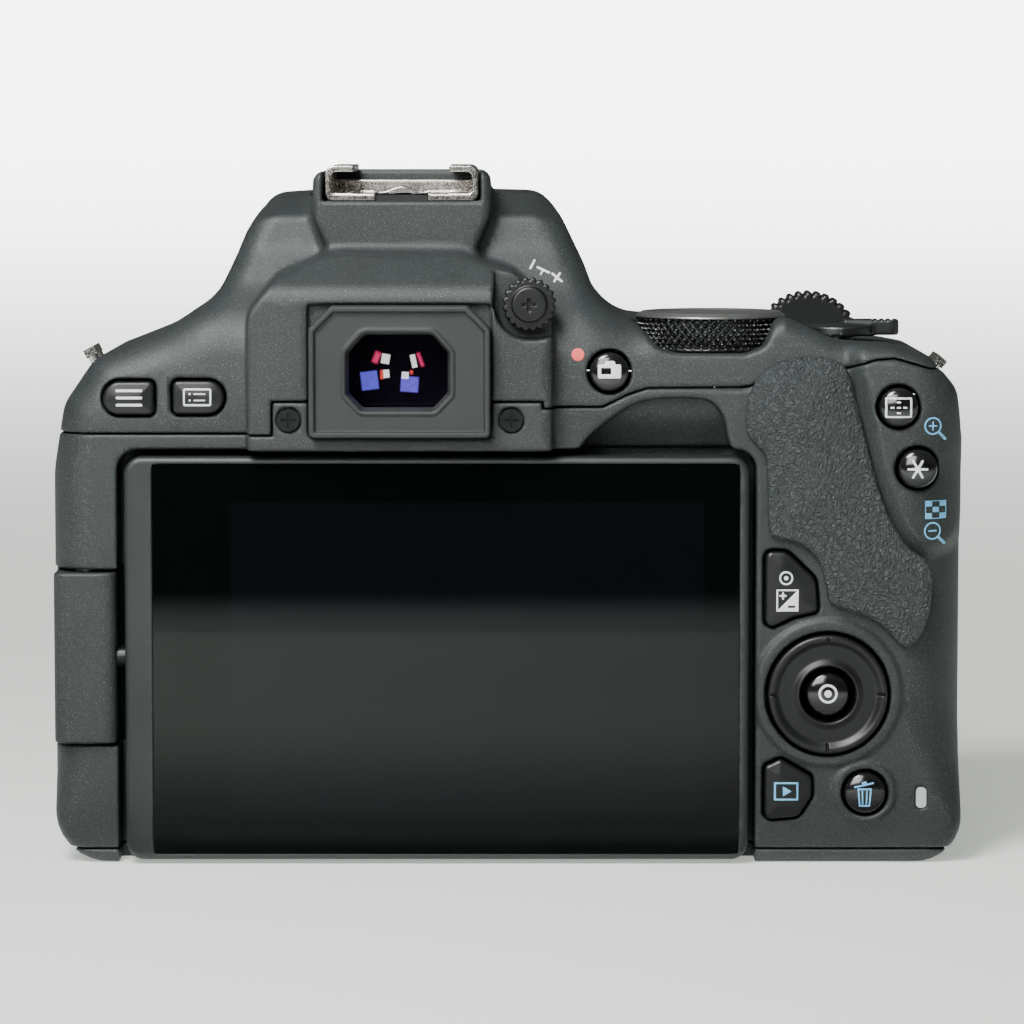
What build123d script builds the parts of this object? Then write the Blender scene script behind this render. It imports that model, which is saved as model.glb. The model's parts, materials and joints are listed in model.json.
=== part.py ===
"""A compact digital single-lens reflex camera body with a side-hinged screen, built as separate pieces.

Frame: millimetres. +X is to the right for someone looking at the back of the camera, +Y points forward
along the lens axis and +Z is up. The origin is the mouth of the tripod socket, in the middle of the base.
"""

from build123d import *

import os
from math import atan2, cos, radians, sin, tan

os.makedirs("parts", exist_ok=True)

# ---- Driving dimensions -------------------------------------------------------------------------------
LEFT, RIGHT = -46.8, 75.6  # the body's sides
REAR, FRONT = -27.0, 17.0  # back and front faces of the thin part of the body
GRIP_FRONT = 34.0
AXIS_Z = 37.5  # height of the lens axis
FLANGE = 36.0  # front face of the lens mount
WALL = 2.0
SPLIT = -15.0  # depth where the rear cover meets the front cover
SEAM_Z, GRIP_SEAM_Z = 64.0, 60.0  # where the front cover meets the top cover, over the lens and the grip
SHOULDER = 71.5  # height of the top round the mode dial
DECK = 70.2  # height of the flat top to the right of it
SHOE_TOP = 92.6
GAP = 0.3  # clearance round a piece that moves
FIT = 0.05  # radial clearance of a running fit

BLOCK_REAR = -31.0  # back face of the housing round the eyepiece
HOUSE_SIDE = 20.6
EYE_REAR = -33.8  # back face of the eyepiece frame, the rearmost point

PANEL_LEFT, PANEL_RIGHT = -37.0, 46.7
PANEL_BOTTOM, PANEL_TOP = 0.6, 55.0
PANEL_REAR, PANEL_FRONT = -28.2, -21.8
RECESS_FLOOR = -21.4
NOTCH_FLOOR = -24.4  # floor of the finger notch over the screen
SWING_X, SWING_Y = -42.3, -24.0  # vertical hinge axis of the screen
TILT_Y, TILT_Z = -25.0, 27.8  # horizontal hinge axis of the screen
HINGE_BOTTOM, HINGE_TOP = 16.3, 39.4
SHAFT = 1.5  # radius of the hinge shafts

BOSS_RADIUS, BOSS_FRONT = 35.2, 34.0
THROAT_RADIUS, RING_RADIUS = 27.0, 33.0

MODE_X, MODE_Y, MODE_RADIUS = 42.0, -13.4, 10.2
MODE_FLOOR, MODE_TOP = 68.4, 73.9
DIAL_X, DIAL_Z, DIAL_RADIUS = 57.0, 68.2, 7.4
DIAL_REAR, DIAL_FRONT, DIAL_SHAFT = 11.6, 16.4, 1.0
LEVER_X, LEVER_Y, LEVER_RADIUS = 59.8, -9.0, 4.8
SLOPE_START, SLOPE_END_Z = 8.0, 61.5  # the grip's top slopes down from here to its front
SHUTTER_X, SHUTTER_Y, SHUTTER_RADIUS = 57.5, 25.5, 4.7

FLASH_REAR, FLASH_FLOOR = -4.4, 78.4
FLASH_HINGE_Y, FLASH_HINGE_Z = -3.0, 87.5
FLASH_PIN = 0.6  # radius of the flash's hinge pins
PEDESTAL_TOP = 88.9
MIRROR_Y, MIRROR_Z = 0.0, 47.8  # main mirror's hinge
MIRROR_LENGTH, SUB_DISTANCE, SUB_LENGTH = 27.0, 12.0, 8.5
COVER_HINGE_Y = 9.6  # vertical hinges of both terminal covers
DOOR_HINGE_X, DOOR_HINGE_Z = 70.8, 1.35  # battery door's hinge, along Y
DOOR_LEFT, DOOR_REAR, DOOR_FRONT = 48.5, -8.3, 27.3

HOUSE_BOTTOM = 56.5  # lower edge of the housing round the eyepiece
EYE_SCREW_X, EYE_SCREW_Z = 14.8, 60.1  # screws of the eyepiece, one on each side
BASE_SCREWS = ((-38, -17), (-38, 12), (13, 10), (55, 30.6))
DIOPTER_X, DIOPTER_Z, DIOPTER_SHAFT = 17.2, 75.4, 1.5
TOP_KEY_Y, TOP_KEY_RADIUS = 2.0, 2.3  # the two keys behind the main dial
TOP_KEYS = (("iso_button", 51.3), ("disp_button", 60.5))


def rear_plane(y):
    """A sketch plane that faces the back of the camera at depth y, with x to the right and z up."""
    return Plane.XZ.offset(-y)


def save(piece, label):
    """Labels a finished piece and writes it as its own STEP file."""
    piece.part.label = label
    export_step(piece.part, f"parts/{label}.step")


def block(low, high, mode=Mode.ADD):
    """A box between two corners, in whichever part is being built."""
    size = [b - a for a, b in zip(low, high)]
    middle = [(a + b) / 2 for a, b in zip(low, high)]
    with Locations(Location(middle)):
        Box(*size, mode=mode)


def disc(x, z, radius, y_low, y_high, mode=Mode.ADD):
    """A round bar along Y, in whichever part is being built."""
    with Locations(Location((x, (y_low + y_high) / 2, z))):
        Cylinder(radius, y_high - y_low, rotation=(90, 0, 0), mode=mode)


def post(x, y, radius, z_low, z_high, mode=Mode.ADD):
    """A round bar along Z, in whichever part is being built."""
    with Locations(Location((x, y, (z_low + z_high) / 2))):
        Cylinder(radius, z_high - z_low, mode=mode)


def rod(y, z, radius, x_low, x_high, mode=Mode.ADD):
    """A round bar along X, in whichever part is being built."""
    with Locations(Location(((x_low + x_high) / 2, y, z))):
        Cylinder(radius, x_high - x_low, rotation=(0, 90, 0), mode=mode)


def prism(flat, plane, amount, mode=Mode.ADD):
    """A flat sketch laid on a plane and pushed out from it, in whichever part is being built."""
    extrude(plane.location * flat, amount=amount, mode=mode)


def shape(corners, grow=0.0):
    """A flat outline from ((x, y), rounding) corners, grown outwards by grow."""
    with BuildSketch() as sketch:
        with BuildLine():
            Polyline(*[point for point, _ in corners], close=True)
        make_face()
        for point, rounding in corners:
            if rounding:
                fillet(sketch.vertices().sort_by_distance((*point, 0))[0], rounding)
        if grow:
            offset(amount=grow)
    return sketch.sketch


# ---- Outer form of the body, and its hollow -----------------------------------------------------------
SILHOUETTE = [
    ((LEFT, 0), 9.5),
    ((RIGHT, 0), 6.5),
    ((RIGHT, 64.2), 9.0),
    ((67.5, DECK), 6.0),
    ((55.0, DECK), 0.5),
    ((53.8, SHOULDER), 0.5),
    ((30.0, SHOULDER), 0),
    ((-27.5, 72.5), 4.0),
    ((LEFT, 66.0), 7.0),
]
PLAN = [
    ((LEFT, REAR), 4.5),
    ((RIGHT, REAR), 8.0),
    ((RIGHT, GRIP_FRONT), 11.0),
    ((47.5, GRIP_FRONT), 9.0),
    ((42.5, FRONT), 4.0),
    ((LEFT, FRONT), 7.0),
]
HUMP = [
    ((-29.0, 66.0), 0),
    ((-29.0, 72.0), 3.0),
    ((-24.5, 79.0), 6.0),
    ((-18.6, 90.5), 3.0),
    ((18.6, 90.5), 3.0),
    ((24.5, 79.0), 6.0),
    ((29.0, 72.0), 3.0),
    ((29.0, 66.0), 0),
]
HUMP_SIDE = [
    ((REAR, 60.0), 0),
    ((REAR, 78.0), 4.0),
    ((-21.5, 83.5), 1.5),
    ((-20.5, 88.0), 1.0),
    ((FLASH_HINGE_Y, 88.2), 0),
    ((8.0, 90.5), 2.0),
    ((26.0, 88.5), 4.0),
    ((30.0, 76.0), 3.0),
    ((FRONT, 66.0), 0),
]
HOUSE_PROFILE = [
    ((BLOCK_REAR, HOUSE_BOTTOM), 0),
    ((BLOCK_REAR, 77.0), 2.5),
    ((-21.0, 83.0), 1.0),
    ((-21.0, 76.0), 0),
    ((REAR + 1.0, 76.0), 0),
    ((REAR + 1.0, HOUSE_BOTTOM), 0),
]


def slab_form(inset):
    """The wide, low part of the body, with every face moved in by inset."""
    rise = DECK - inset
    with BuildPart() as slab:
        prism(shape(SILHOUETTE, -inset), rear_plane(GRIP_FRONT + 1), GRIP_FRONT + 2 - REAR)
        prism(shape(PLAN, -inset), Plane.XY.offset(-1), SHOULDER + 10, mode=Mode.INTERSECT)
        slope = [((SLOPE_START, rise), 0), ((GRIP_FRONT + 2, rise + 9), 0),
                 ((GRIP_FRONT + 2, SLOPE_END_Z - inset - 1), 0), ((GRIP_FRONT, SLOPE_END_Z - inset), 0)]
        prism(shape(slope), Plane.YZ.offset(38), RIGHT - 30, mode=Mode.SUBTRACT)
    return slab.part


def hump_form(inset):
    """The hump over the viewfinder, with every face moved in by inset."""
    with BuildPart() as hump:
        prism(shape(HUMP, -inset), rear_plane(31), 33 - REAR)
        prism(shape(HUMP_SIDE, -inset), Plane.YZ.offset(-30), 60, mode=Mode.INTERSECT)
    return hump.part


def seam_region():
    """Everything behind SPLIT that is over the base plate and under the stepped seam on the back."""
    seam = [(LEFT - 2, WALL), (RIGHT + 2, WALL), (RIGHT + 2, 66.8), (54, 66.8), (46, 64.2), (33, 64.2),
            (27, 61.7), (19, 61.7), (19, 62.5), (-17, 62.5), (-17, 58.0), (LEFT - 2, 58.0)]
    with BuildPart() as region:
        prism(shape([(point, 0) for point in seam]), rear_plane(SPLIT), 25)
    return region.part


def front_region():
    """Everything ahead of SPLIT that belongs to the front cover, with the round boss behind the mount."""
    with BuildPart() as region:
        block((LEFT - 2, SPLIT, WALL), (44, 40, SEAM_Z))
        block((44, SPLIT, WALL), (RIGHT + 2, 40, GRIP_SEAM_Z))
        disc(0, AXIS_Z, BOSS_RADIUS, FRONT - WALL, BOSS_FRONT)
    return region.part


SLAB, SLAB_HOLLOW = slab_form(0), slab_form(WALL)
HUMP_SOLID, HUMP_HOLLOW = hump_form(0), hump_form(WALL)
REAR_REGION, FRONT_REGION = seam_region(), front_region()
SLOPE = atan2(DECK - SLOPE_END_Z, GRIP_FRONT - SLOPE_START)  # the angle of the grip's top
SHUTTER_Z = DECK - (SHUTTER_Y - SLOPE_START) * tan(SLOPE)
SHUTTER_PLANE = Plane((SHUTTER_X, SHUTTER_Y, SHUTTER_Z), z_dir=(0, sin(SLOPE), cos(SLOPE)))


# ---- Outlines of the controls -------------------------------------------------------------------------
def dot(x, z, radius):
    """A round outline."""
    with BuildSketch() as sketch:
        with Locations((x, z)):
            Circle(radius)
    return sketch.sketch


def pill(x_low, x_high, z_low, z_high, left, right):
    """A key's outline with its own corner radius at each end."""
    return shape([((x_low, z_low), left), ((x_high, z_low), right),
                  ((x_high, z_high), right), ((x_low, z_high), left)])


MENU_KEY = pill(-39.7, -33.0, 60.6, 65.0, 2.15, 0.7)
INFO_KEY = pill(-30.4, -23.6, 60.7, 65.1, 0.7, 2.15)
EXPOSURE_KEY = shape([((48.9, 42.2), 0.9), ((51.7, 42.2), 2.0), ((55.6, 38.4), 2.0), ((55.9, 34.2), 0.6),
                      ((52.6, 33.4), 1.5), ((48.9, 31.6), 0.9)])
PLAYBACK_KEY = shape([((48.9, 13.2), 0.6), ((51.0, 14.2), 0.6), ((55.2, 11.8), 0.8), ((55.2, 9.2), 1.4),
                      ((53.4, 6.4), 1.4), ((48.9, 6.0), 0.9)])
LIVE_VIEW = (27.9, 66.3, 2.6)
AF_POINT = (66.4, 61.7, 2.6)
AE_LOCK = (69.0, 53.5, 2.6)
ERASE = (62.4, 9.6, 2.8)
CROSS_X, CROSS_Z, CROSS_OUTER, CROSS_INNER = 57.3, 23.0, 8.0, 3.8
SET_RADIUS = 2.9
ISLAND_REAR = -29.0
LIP_REAR, LIP_DEPTH, LIP = REAR + WALL + 0.3, 0.8, 0.7  # the lip behind the cover that keeps a key in


def grown(flat, amount):
    """A flat outline with its edge moved outwards."""
    with BuildSketch() as sketch:
        add(flat)
        offset(amount=amount)
    return sketch.sketch


def cut_key_hole(flat):
    """Cuts a key's hole through the back of the cover being built."""
    prism(grown(flat, GAP), rear_plane(REAR + WALL + 0.1), 12, mode=Mode.SUBTRACT)


def key_solid(flat, rear_y, edge=0.3, lip_rear=LIP_REAR, lip=LIP, left_limit=-60.0, right_limit=90.0):
    """A key that stands out to rear_y, with a chamfered face and a keeping lip behind the cover."""
    with BuildPart() as key:
        prism(flat, rear_plane(lip_rear + LIP_DEPTH), lip_rear + LIP_DEPTH - rear_y)
        chamfer(key.faces().sort_by(Axis.Y)[0].edges(), edge)
        prism(grown(flat, lip), rear_plane(lip_rear + LIP_DEPTH), LIP_DEPTH)
        block((left_limit, -40, 0), (right_limit, 0, 80), mode=Mode.INTERSECT)
    return key


# ---- Strap lugs: two alike, one on each shoulder ------------------------------------------------------
with BuildPart() as strap_lugs:
    for x, z, lean in ((-42.6, 66.0, -28), (72.9, 65.0, 42)):
        outward = Vector(sin(radians(lean)), 0, cos(radians(lean)))
        bar = Vector(x, 0, z) + outward * 1.4
        with Locations(Location((bar.X, bar.Y, bar.Z), (0, lean, 0))):
            Box(1.6, 8.8, 1.2, align=(Align.CENTER, Align.CENTER, Align.MIN))
        for y in (-3.7, 3.7):
            foot = Vector(x, y, z) - outward * 1.2
            with Locations(Location((foot.X, foot.Y, foot.Z), (0, lean, 0))):
                Cylinder(0.7, 3.4, align=(Align.CENTER, Align.CENTER, Align.MIN))
save(strap_lugs, "strap_lugs")


# ---- Covers -------------------------------------------------------------------------------------------
with BuildPart() as rear_frame:  # the walls of the screen's recess and the housing of its upright hinge
    post(SWING_X, SWING_Y, 7.6, WALL, 57)
    block((PANEL_LEFT - 3, RECESS_FLOOR, WALL), (48.5, RECESS_FLOOR + WALL, 57.0))
    block((47.4, REAR + WALL, WALL), (48.5, RECESS_FLOOR + WALL, 57.0))
    block((PANEL_LEFT - 3, REAR + WALL, 55.6), (48.5, RECESS_FLOOR + WALL, 57.4))
    block((23.0, NOTCH_FLOOR, 55.6), (46.0, NOTCH_FLOOR + WALL, 63.2))  # floor of the finger notch
    add(SLAB, mode=Mode.INTERSECT)

with BuildPart() as rear_cover:
    add(SLAB)
    block((-HOUSE_SIDE, BLOCK_REAR, HOUSE_BOTTOM), (HOUSE_SIDE, REAR + 1, 62.5))
    island = [((61, 66.8), 0), ((72.6, 66.8), 0), ((72.6, 48), 2.5), ((69, 48.5), 1.5), ((63.5, 57), 3)]
    prism(shape(island), rear_plane(REAR + 3), REAR + 3 - ISLAND_REAR)  # raised under the two thumb buttons
    add(SLAB_HOLLOW, mode=Mode.SUBTRACT)
    add(rear_frame.part)
    add(REAR_REGION, mode=Mode.INTERSECT)
    block((LEFT, REAR - 9, WALL), (RIGHT, SPLIT, 70), mode=Mode.INTERSECT)
    block((PANEL_LEFT - 1.0, REAR - 5, -1), (PANEL_RIGHT + 0.8, RECESS_FLOOR, PANEL_TOP + 0.8),
          mode=Mode.SUBTRACT)
    notch = [((24, 54), 0), ((44.5, 54), 0), ((43.6, 61.2), 2), ((31.5, 61.2), 2)]
    prism(shape(notch), rear_plane(NOTCH_FLOOR), 6, mode=Mode.SUBTRACT)  # finger notch over the screen
    post(SWING_X, SWING_Y, 5.9, HINGE_BOTTOM - GAP, HINGE_TOP + GAP, mode=Mode.SUBTRACT)
    block((LEFT - 1, REAR - 1, HINGE_BOTTOM - GAP), (-36, SWING_Y, HINGE_TOP + GAP), mode=Mode.SUBTRACT)
    post(SWING_X, SWING_Y, SHAFT + FIT, HINGE_BOTTOM - 6, HINGE_TOP + 6, mode=Mode.SUBTRACT)
    for x, z, radius in (AF_POINT, AE_LOCK, ERASE):
        disc(x, z, radius + GAP, REAR - 5, REAR + WALL + 3, mode=Mode.SUBTRACT)
    disc(CROSS_X, CROSS_Z, CROSS_OUTER + 0.4, REAR - 5, REAR + WALL + 0.1, mode=Mode.SUBTRACT)
    cut_key_hole(EXPOSURE_KEY)
    cut_key_hole(PLAYBACK_KEY)
    block((69.3, REAR - 1, 7.5), (70.7, REAR + WALL + 1, 10.3), mode=Mode.SUBTRACT)
    for x in (-EYE_SCREW_X, EYE_SCREW_X):
        disc(x, EYE_SCREW_Z, 0.9, BLOCK_REAR - 1, REAR + 0.5, mode=Mode.SUBTRACT)
        disc(x, EYE_SCREW_Z, 1.6, BLOCK_REAR - 1, BLOCK_REAR + 0.5, mode=Mode.SUBTRACT)
    block((-12.2, -32, 57.7), (12.2, BLOCK_REAR + 0.9, 63), mode=Mode.SUBTRACT)
    block((-7.6, -32, 60.8), (7.2, REAR + WALL + 3, 63), mode=Mode.SUBTRACT)
    block((-9.0, REAR + 0.5, 60.0), (9.0, REAR + WALL + 2, 63), mode=Mode.SUBTRACT)
save(rear_cover, "rear_cover")

with BuildPart() as finder_hollow:  # the room inside the hump, under the tray that the flash folds into
    add(HUMP_HOLLOW)
    block((-40, FLASH_REAR - GAP - WALL, FLASH_FLOOR - GAP - 1.6), (40, 40, 100), mode=Mode.SUBTRACT)

with BuildPart() as top_cover:
    add(SLAB)
    add(HUMP_SOLID)
    prism(shape(HOUSE_PROFILE), Plane.YZ.offset(-HOUSE_SIDE), 2 * HOUSE_SIDE)
    block((-12.0, -19.8, 80), (12.0, 0, PEDESTAL_TOP))
    add(SLAB_HOLLOW, mode=Mode.SUBTRACT)
    add(finder_hollow.part, mode=Mode.SUBTRACT)
    block((-40, FLASH_REAR - GAP, FLASH_FLOOR - GAP), (40, 40, 100), mode=Mode.SUBTRACT)
    block((-12.7, FLASH_REAR - 1, FLASH_FLOOR - GAP - 1), (12.7, 3.7, PEDESTAL_TOP))
    for low, high in ((-13, -11), (11, 13)):
        rod(FLASH_HINGE_Y, FLASH_HINGE_Z, FLASH_PIN + FIT, low, high, mode=Mode.SUBTRACT)
    post(MODE_X, MODE_Y, MODE_RADIUS + 2.6, MODE_FLOOR - WALL, MODE_FLOOR)
    block((MODE_X - 11.4, REAR + 1, MODE_FLOOR - WALL), (MODE_X + 12, MODE_Y, SHOULDER - WALL))
    add(REAR_REGION, mode=Mode.SUBTRACT)
    add(FRONT_REGION, mode=Mode.SUBTRACT)
    block((-60, -40, -2), (90, 40, 57.9), mode=Mode.SUBTRACT)
    post(MODE_X, MODE_Y, MODE_RADIUS + 0.8, MODE_FLOOR, 80, mode=Mode.SUBTRACT)
    block((MODE_X - 11, REAR - 2, MODE_FLOOR), (MODE_X + 11, MODE_Y, 80), mode=Mode.SUBTRACT)
    post(MODE_X, MODE_Y, 3 + FIT, 60, 70, mode=Mode.SUBTRACT)
    post(LEVER_X, LEVER_Y, 2 + FIT, 60, 80, mode=Mode.SUBTRACT)
    slot_half = DIAL_RADIUS + 0.6
    block((DIAL_X - slot_half, DIAL_REAR - 0.4, 60), (DIAL_X + slot_half, DIAL_FRONT + 0.4, 80),
          mode=Mode.SUBTRACT)
    block((DIAL_X - 3, DIAL_REAR - 2.4, 64), (DIAL_X + 3, DIAL_REAR - 0.4, DECK - WALL + 0.2))
    disc(DIAL_X, DIAL_Z, DIAL_SHAFT + FIT, DIAL_REAR - 5, DIAL_REAR, mode=Mode.SUBTRACT)
    for _, x in TOP_KEYS:
        post(x, TOP_KEY_Y, TOP_KEY_RADIUS + GAP, 65, 75, mode=Mode.SUBTRACT)
    add(strap_lugs.part, mode=Mode.SUBTRACT)
    cut_key_hole(MENU_KEY)
    cut_key_hole(INFO_KEY)
    disc(LIVE_VIEW[0], LIVE_VIEW[1], LIVE_VIEW[2] + GAP, REAR - 5, REAR + WALL + 0.1, mode=Mode.SUBTRACT)
    block((-12.2, -32, 57.7), (12.2, BLOCK_REAR + 0.9, 75.5), mode=Mode.SUBTRACT)
    block((-7.6, -32, 60.8), (7.2, REAR + WALL + 0.5, 72.4), mode=Mode.SUBTRACT)
    block((-9.0, REAR + 0.5, 60.0), (9.0, REAR + WALL + 2, 73.2), mode=Mode.SUBTRACT)
    disc(DIOPTER_X, DIOPTER_Z, 4.3, -40, REAR, mode=Mode.SUBTRACT)
    disc(DIOPTER_X, DIOPTER_Z, DIOPTER_SHAFT + FIT, -40, -20, mode=Mode.SUBTRACT)
    with Locations(SHUTTER_PLANE):
        Cylinder(SHUTTER_RADIUS + GAP, 12, mode=Mode.SUBTRACT)
save(top_cover, "top_cover")

SKIN = 1.0  # thickness of the rubber on the grip
with BuildPart() as grip_rubber:
    add(SLAB)
    add(slab_form(SKIN), mode=Mode.SUBTRACT)
    block((44.0, 15.5, 5), (RIGHT + 2, 40, GRIP_SEAM_Z), mode=Mode.INTERSECT)
save(grip_rubber, "grip_rubber")

RELEASE_X, RELEASE_Z, RELEASE_RADIUS = -39.6, 27.0, 4.6
FLASH_KEY_X, FLASH_KEY_Z, FLASH_KEY_RADIUS = -38.5, 59.2, 2.3
PIN_X, PIN_Z, PIN_RADIUS = -29.8, 33.5, 1.5
LEFT_FLAP = (-6.0, 20.3, 55.7)  # rear edge, bottom and top
RIGHT_FLAP = (-7.8, 15.9, 27.7)
FLAP = 1.6

with BuildPart() as front_cover:
    add(SLAB)
    disc(0, AXIS_Z, BOSS_RADIUS, FRONT - WALL, BOSS_FRONT)
    add(SLAB_HOLLOW, mode=Mode.SUBTRACT)
    disc(0, AXIS_Z, BOSS_RADIUS - WALL, 10, BOSS_FRONT - WALL, mode=Mode.SUBTRACT)
    disc(0, AXIS_Z, 29.0, 10, BOSS_FRONT + 1, mode=Mode.SUBTRACT)
    block((LEFT + 1.9, -8, 18), (LEFT + 3.4, 12, 58))  # floors under the two terminal covers
    block((RIGHT - 3.4, -10, 13), (RIGHT - 1.9, 12, 30))
    add(FRONT_REGION, mode=Mode.INTERSECT)
    add(grip_rubber.part, mode=Mode.SUBTRACT)
    for x, (rear, low, high) in ((LEFT, LEFT_FLAP), (RIGHT, RIGHT_FLAP)):
        block((x - 1.9, rear - GAP, low - GAP), (x + 1.9, COVER_HINGE_Y + 1.1, high + GAP),
              mode=Mode.SUBTRACT)
    for z in (51.0, 43.0):  # round jacks and two flat sockets under the left flap, one jack under the right
        rod(2.0, z, 1.8, LEFT - 1, LEFT + 8, mode=Mode.SUBTRACT)
    block((LEFT - 1, -1.5, 33), (LEFT + 8, 6.5, 36.5), mode=Mode.SUBTRACT)
    block((LEFT - 1, -1.5, 24), (LEFT + 8, 6.5, 28), mode=Mode.SUBTRACT)
    rod(2.0, 21.8, 1.7, RIGHT - 8, RIGHT + 1, mode=Mode.SUBTRACT)
    disc(RELEASE_X, RELEASE_Z, RELEASE_RADIUS + GAP, 8.5, 20, mode=Mode.SUBTRACT)
    disc(FLASH_KEY_X, FLASH_KEY_Z, FLASH_KEY_RADIUS + GAP, 10, 20, mode=Mode.SUBTRACT)
    disc(PIN_X, PIN_Z, PIN_RADIUS + GAP, 28, 40, mode=Mode.SUBTRACT)
    block((DOOR_LEFT, DOOR_REAR - GAP, 1), (DOOR_HINGE_X + 1.5, DOOR_FRONT + GAP, 3.2), mode=Mode.SUBTRACT)
save(front_cover, "front_cover")

SOCKET_RADIUS, THREAD_RADIUS = 5.2, 3.175
with BuildPart() as bottom_cover:
    add(SLAB)
    block((-60, -40, 0), (90, 40, WALL), mode=Mode.INTERSECT)
    block((PANEL_LEFT - 1.0, REAR - 5, -1), (PANEL_RIGHT + 0.8, RECESS_FLOOR, 5), mode=Mode.SUBTRACT)
    post(0, 0, SOCKET_RADIUS, -1, 5, mode=Mode.SUBTRACT)
    block((DOOR_LEFT - GAP, DOOR_REAR - GAP, -1), (DOOR_HINGE_X + 1.5, DOOR_FRONT + GAP, 5),
          mode=Mode.SUBTRACT)
    for x, y in BASE_SCREWS:
        post(x, y, 1.6, -1, 1.2, mode=Mode.SUBTRACT)
        post(x, y, 0.8, 1, 5, mode=Mode.SUBTRACT)
save(bottom_cover, "bottom_cover")

with BuildPart() as base_screws:  # four alike
    for x, y in BASE_SCREWS:
        post(x, y, 1.5, 0.2, 1.2)
        post(x, y, 0.8, 1.2, 1.95)
        for half_x, half_y in ((1.0, 0.15), (0.15, 1.0)):
            block((x - half_x, y - half_y, 0), (x + half_x, y + half_y, 0.7), mode=Mode.SUBTRACT)
save(base_screws, "base_screws")

with BuildPart() as tripod_socket:
    post(0, 0, SOCKET_RADIUS, 0, 9)
    post(0, 0, SOCKET_RADIUS + 3, WALL, WALL + 1.5)
    post(0, 0, THREAD_RADIUS, -1, 8, mode=Mode.SUBTRACT)
save(tripod_socket, "tripod_socket")

with BuildPart() as battery_door:
    add(SLAB)
    block((DOOR_LEFT, DOOR_REAR, 0), (DOOR_HINGE_X, DOOR_FRONT, WALL), mode=Mode.INTERSECT)
    block((DOOR_LEFT + 1.5, DOOR_REAR + 12, -1), (DOOR_LEFT + 4.5, DOOR_REAR + 22, 0.6), mode=Mode.SUBTRACT)
    disc(DOOR_HINGE_X, DOOR_HINGE_Z, 1.1, DOOR_REAR, DOOR_FRONT)
save(battery_door, "battery_door")


def terminal_flap(x, rear, low, high):
    """A rubber cover flush with one side of the body, rolled round its hinge at the front edge."""
    inward = -1 if x > 0 else 1
    near, far = sorted((x, x + inward * FLAP))
    with BuildPart() as flap:
        block((near, rear, low), (far, COVER_HINGE_Y, high))
        post((near + far) / 2, COVER_HINGE_Y, FLAP / 2, low, high)
        edge = flap.edges().filter_by(Axis.Z).sort_by(Axis.Y)[0:2].sort_by(Axis.X)[0 if x < 0 else -1]
        fillet(edge, 0.8)
    return flap


save(terminal_flap(LEFT, *LEFT_FLAP), "left_terminal_cover")
save(terminal_flap(RIGHT, *RIGHT_FLAP), "right_terminal_cover")

with BuildPart() as thumb_rest:
    pad = [((46.2, 62.6), 1.0), ((48.6, 67.8), 2.0), ((54.0, 69.2), 3.0), ((59.2, 68.4), 2.0),
           ((61.0, 65.6), 1.5), ((62.6, 58.0), 6.0), ((65.4, 48.6), 5.0), ((70.6, 40.6), 3.0),
           ((70.4, 35.0), 4.0), ((65.6, 29.6), 2.0), ((62.4, 33.4), 3.0), ((57.2, 34.6), 1.0),
           ((57.0, 39.4), 4.0), ((54.0, 43.6), 4.0), ((49.2, 44.8), 1.0), ((49.0, 56.0), 5.0)]
    prism(shape(pad), rear_plane(REAR + 4), 4 + 2.4)
    add(SLAB, mode=Mode.SUBTRACT)
    block((60, REAR - 2.6, 66.0), (75.0, REAR + 5, 66.9), mode=Mode.SUBTRACT)
save(thumb_rest, "thumb_rest")

# ---- Screen and its two hinges ------------------------------------------------------------------------
with BuildPart() as hinge_block:
    post(SWING_X, SWING_Y, 5.6, HINGE_BOTTOM, HINGE_TOP)
    block((LEFT + 0.2, PANEL_REAR, 0), (PANEL_LEFT - 1.2, SWING_Y + 4.0, 60), mode=Mode.INTERSECT)
    fillet(hinge_block.edges().filter_by(Axis.X).group_by(Axis.Y)[0], 0.8)
    post(SWING_X, SWING_Y, SHAFT, HINGE_BOTTOM, HINGE_BOTTOM + 4, mode=Mode.SUBTRACT)
    post(SWING_X, SWING_Y, SHAFT, HINGE_TOP - 4, HINGE_TOP, mode=Mode.SUBTRACT)
    rod(TILT_Y, TILT_Z, SHAFT, SWING_X, PANEL_LEFT, mode=Mode.SUBTRACT)
save(hinge_block, "hinge_block")

with BuildPart() as swing_hinge_pins:  # two alike, one at each end of the block
    post(SWING_X, SWING_Y, SHAFT, HINGE_BOTTOM - 5, HINGE_BOTTOM + 4)
    post(SWING_X, SWING_Y, SHAFT, HINGE_TOP - 4, HINGE_TOP + 5)
save(swing_hinge_pins, "swing_hinge_pins")

with BuildPart() as tilt_hinge_shaft:
    rod(TILT_Y, TILT_Z, SHAFT, SWING_X, PANEL_LEFT + 7)
save(tilt_hinge_shaft, "tilt_hinge_shaft")

GLASS = ((-33.2, 1.5), (45.3, 54.0))
MODULE = ((-26.0, 3.8), (43.4, 52.0))
GLASS_THICK, MODULE_THICK = 1.0, 3.0
with BuildPart() as screen_housing:
    block((PANEL_LEFT, PANEL_REAR, PANEL_BOTTOM), (PANEL_RIGHT, PANEL_FRONT, PANEL_TOP))
    fillet(screen_housing.edges().filter_by(Axis.Y), 2.2)
    chamfer(screen_housing.faces().sort_by(Axis.Y)[0].edges(), 0.5)
    chamfer(screen_housing.faces().sort_by(Axis.Y)[-1].edges(), 1.0)
    block((GLASS[0][0], PANEL_REAR - 1, GLASS[0][1]), (GLASS[1][0], PANEL_REAR + GLASS_THICK, GLASS[1][1]),
          mode=Mode.SUBTRACT)
    block((MODULE[0][0], PANEL_REAR, MODULE[0][1]),
          (MODULE[1][0], PANEL_REAR + GLASS_THICK + MODULE_THICK, MODULE[1][1]), mode=Mode.SUBTRACT)
    rod(TILT_Y, TILT_Z, SHAFT + FIT, PANEL_LEFT - 1, PANEL_LEFT + 7.5, mode=Mode.SUBTRACT)
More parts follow.
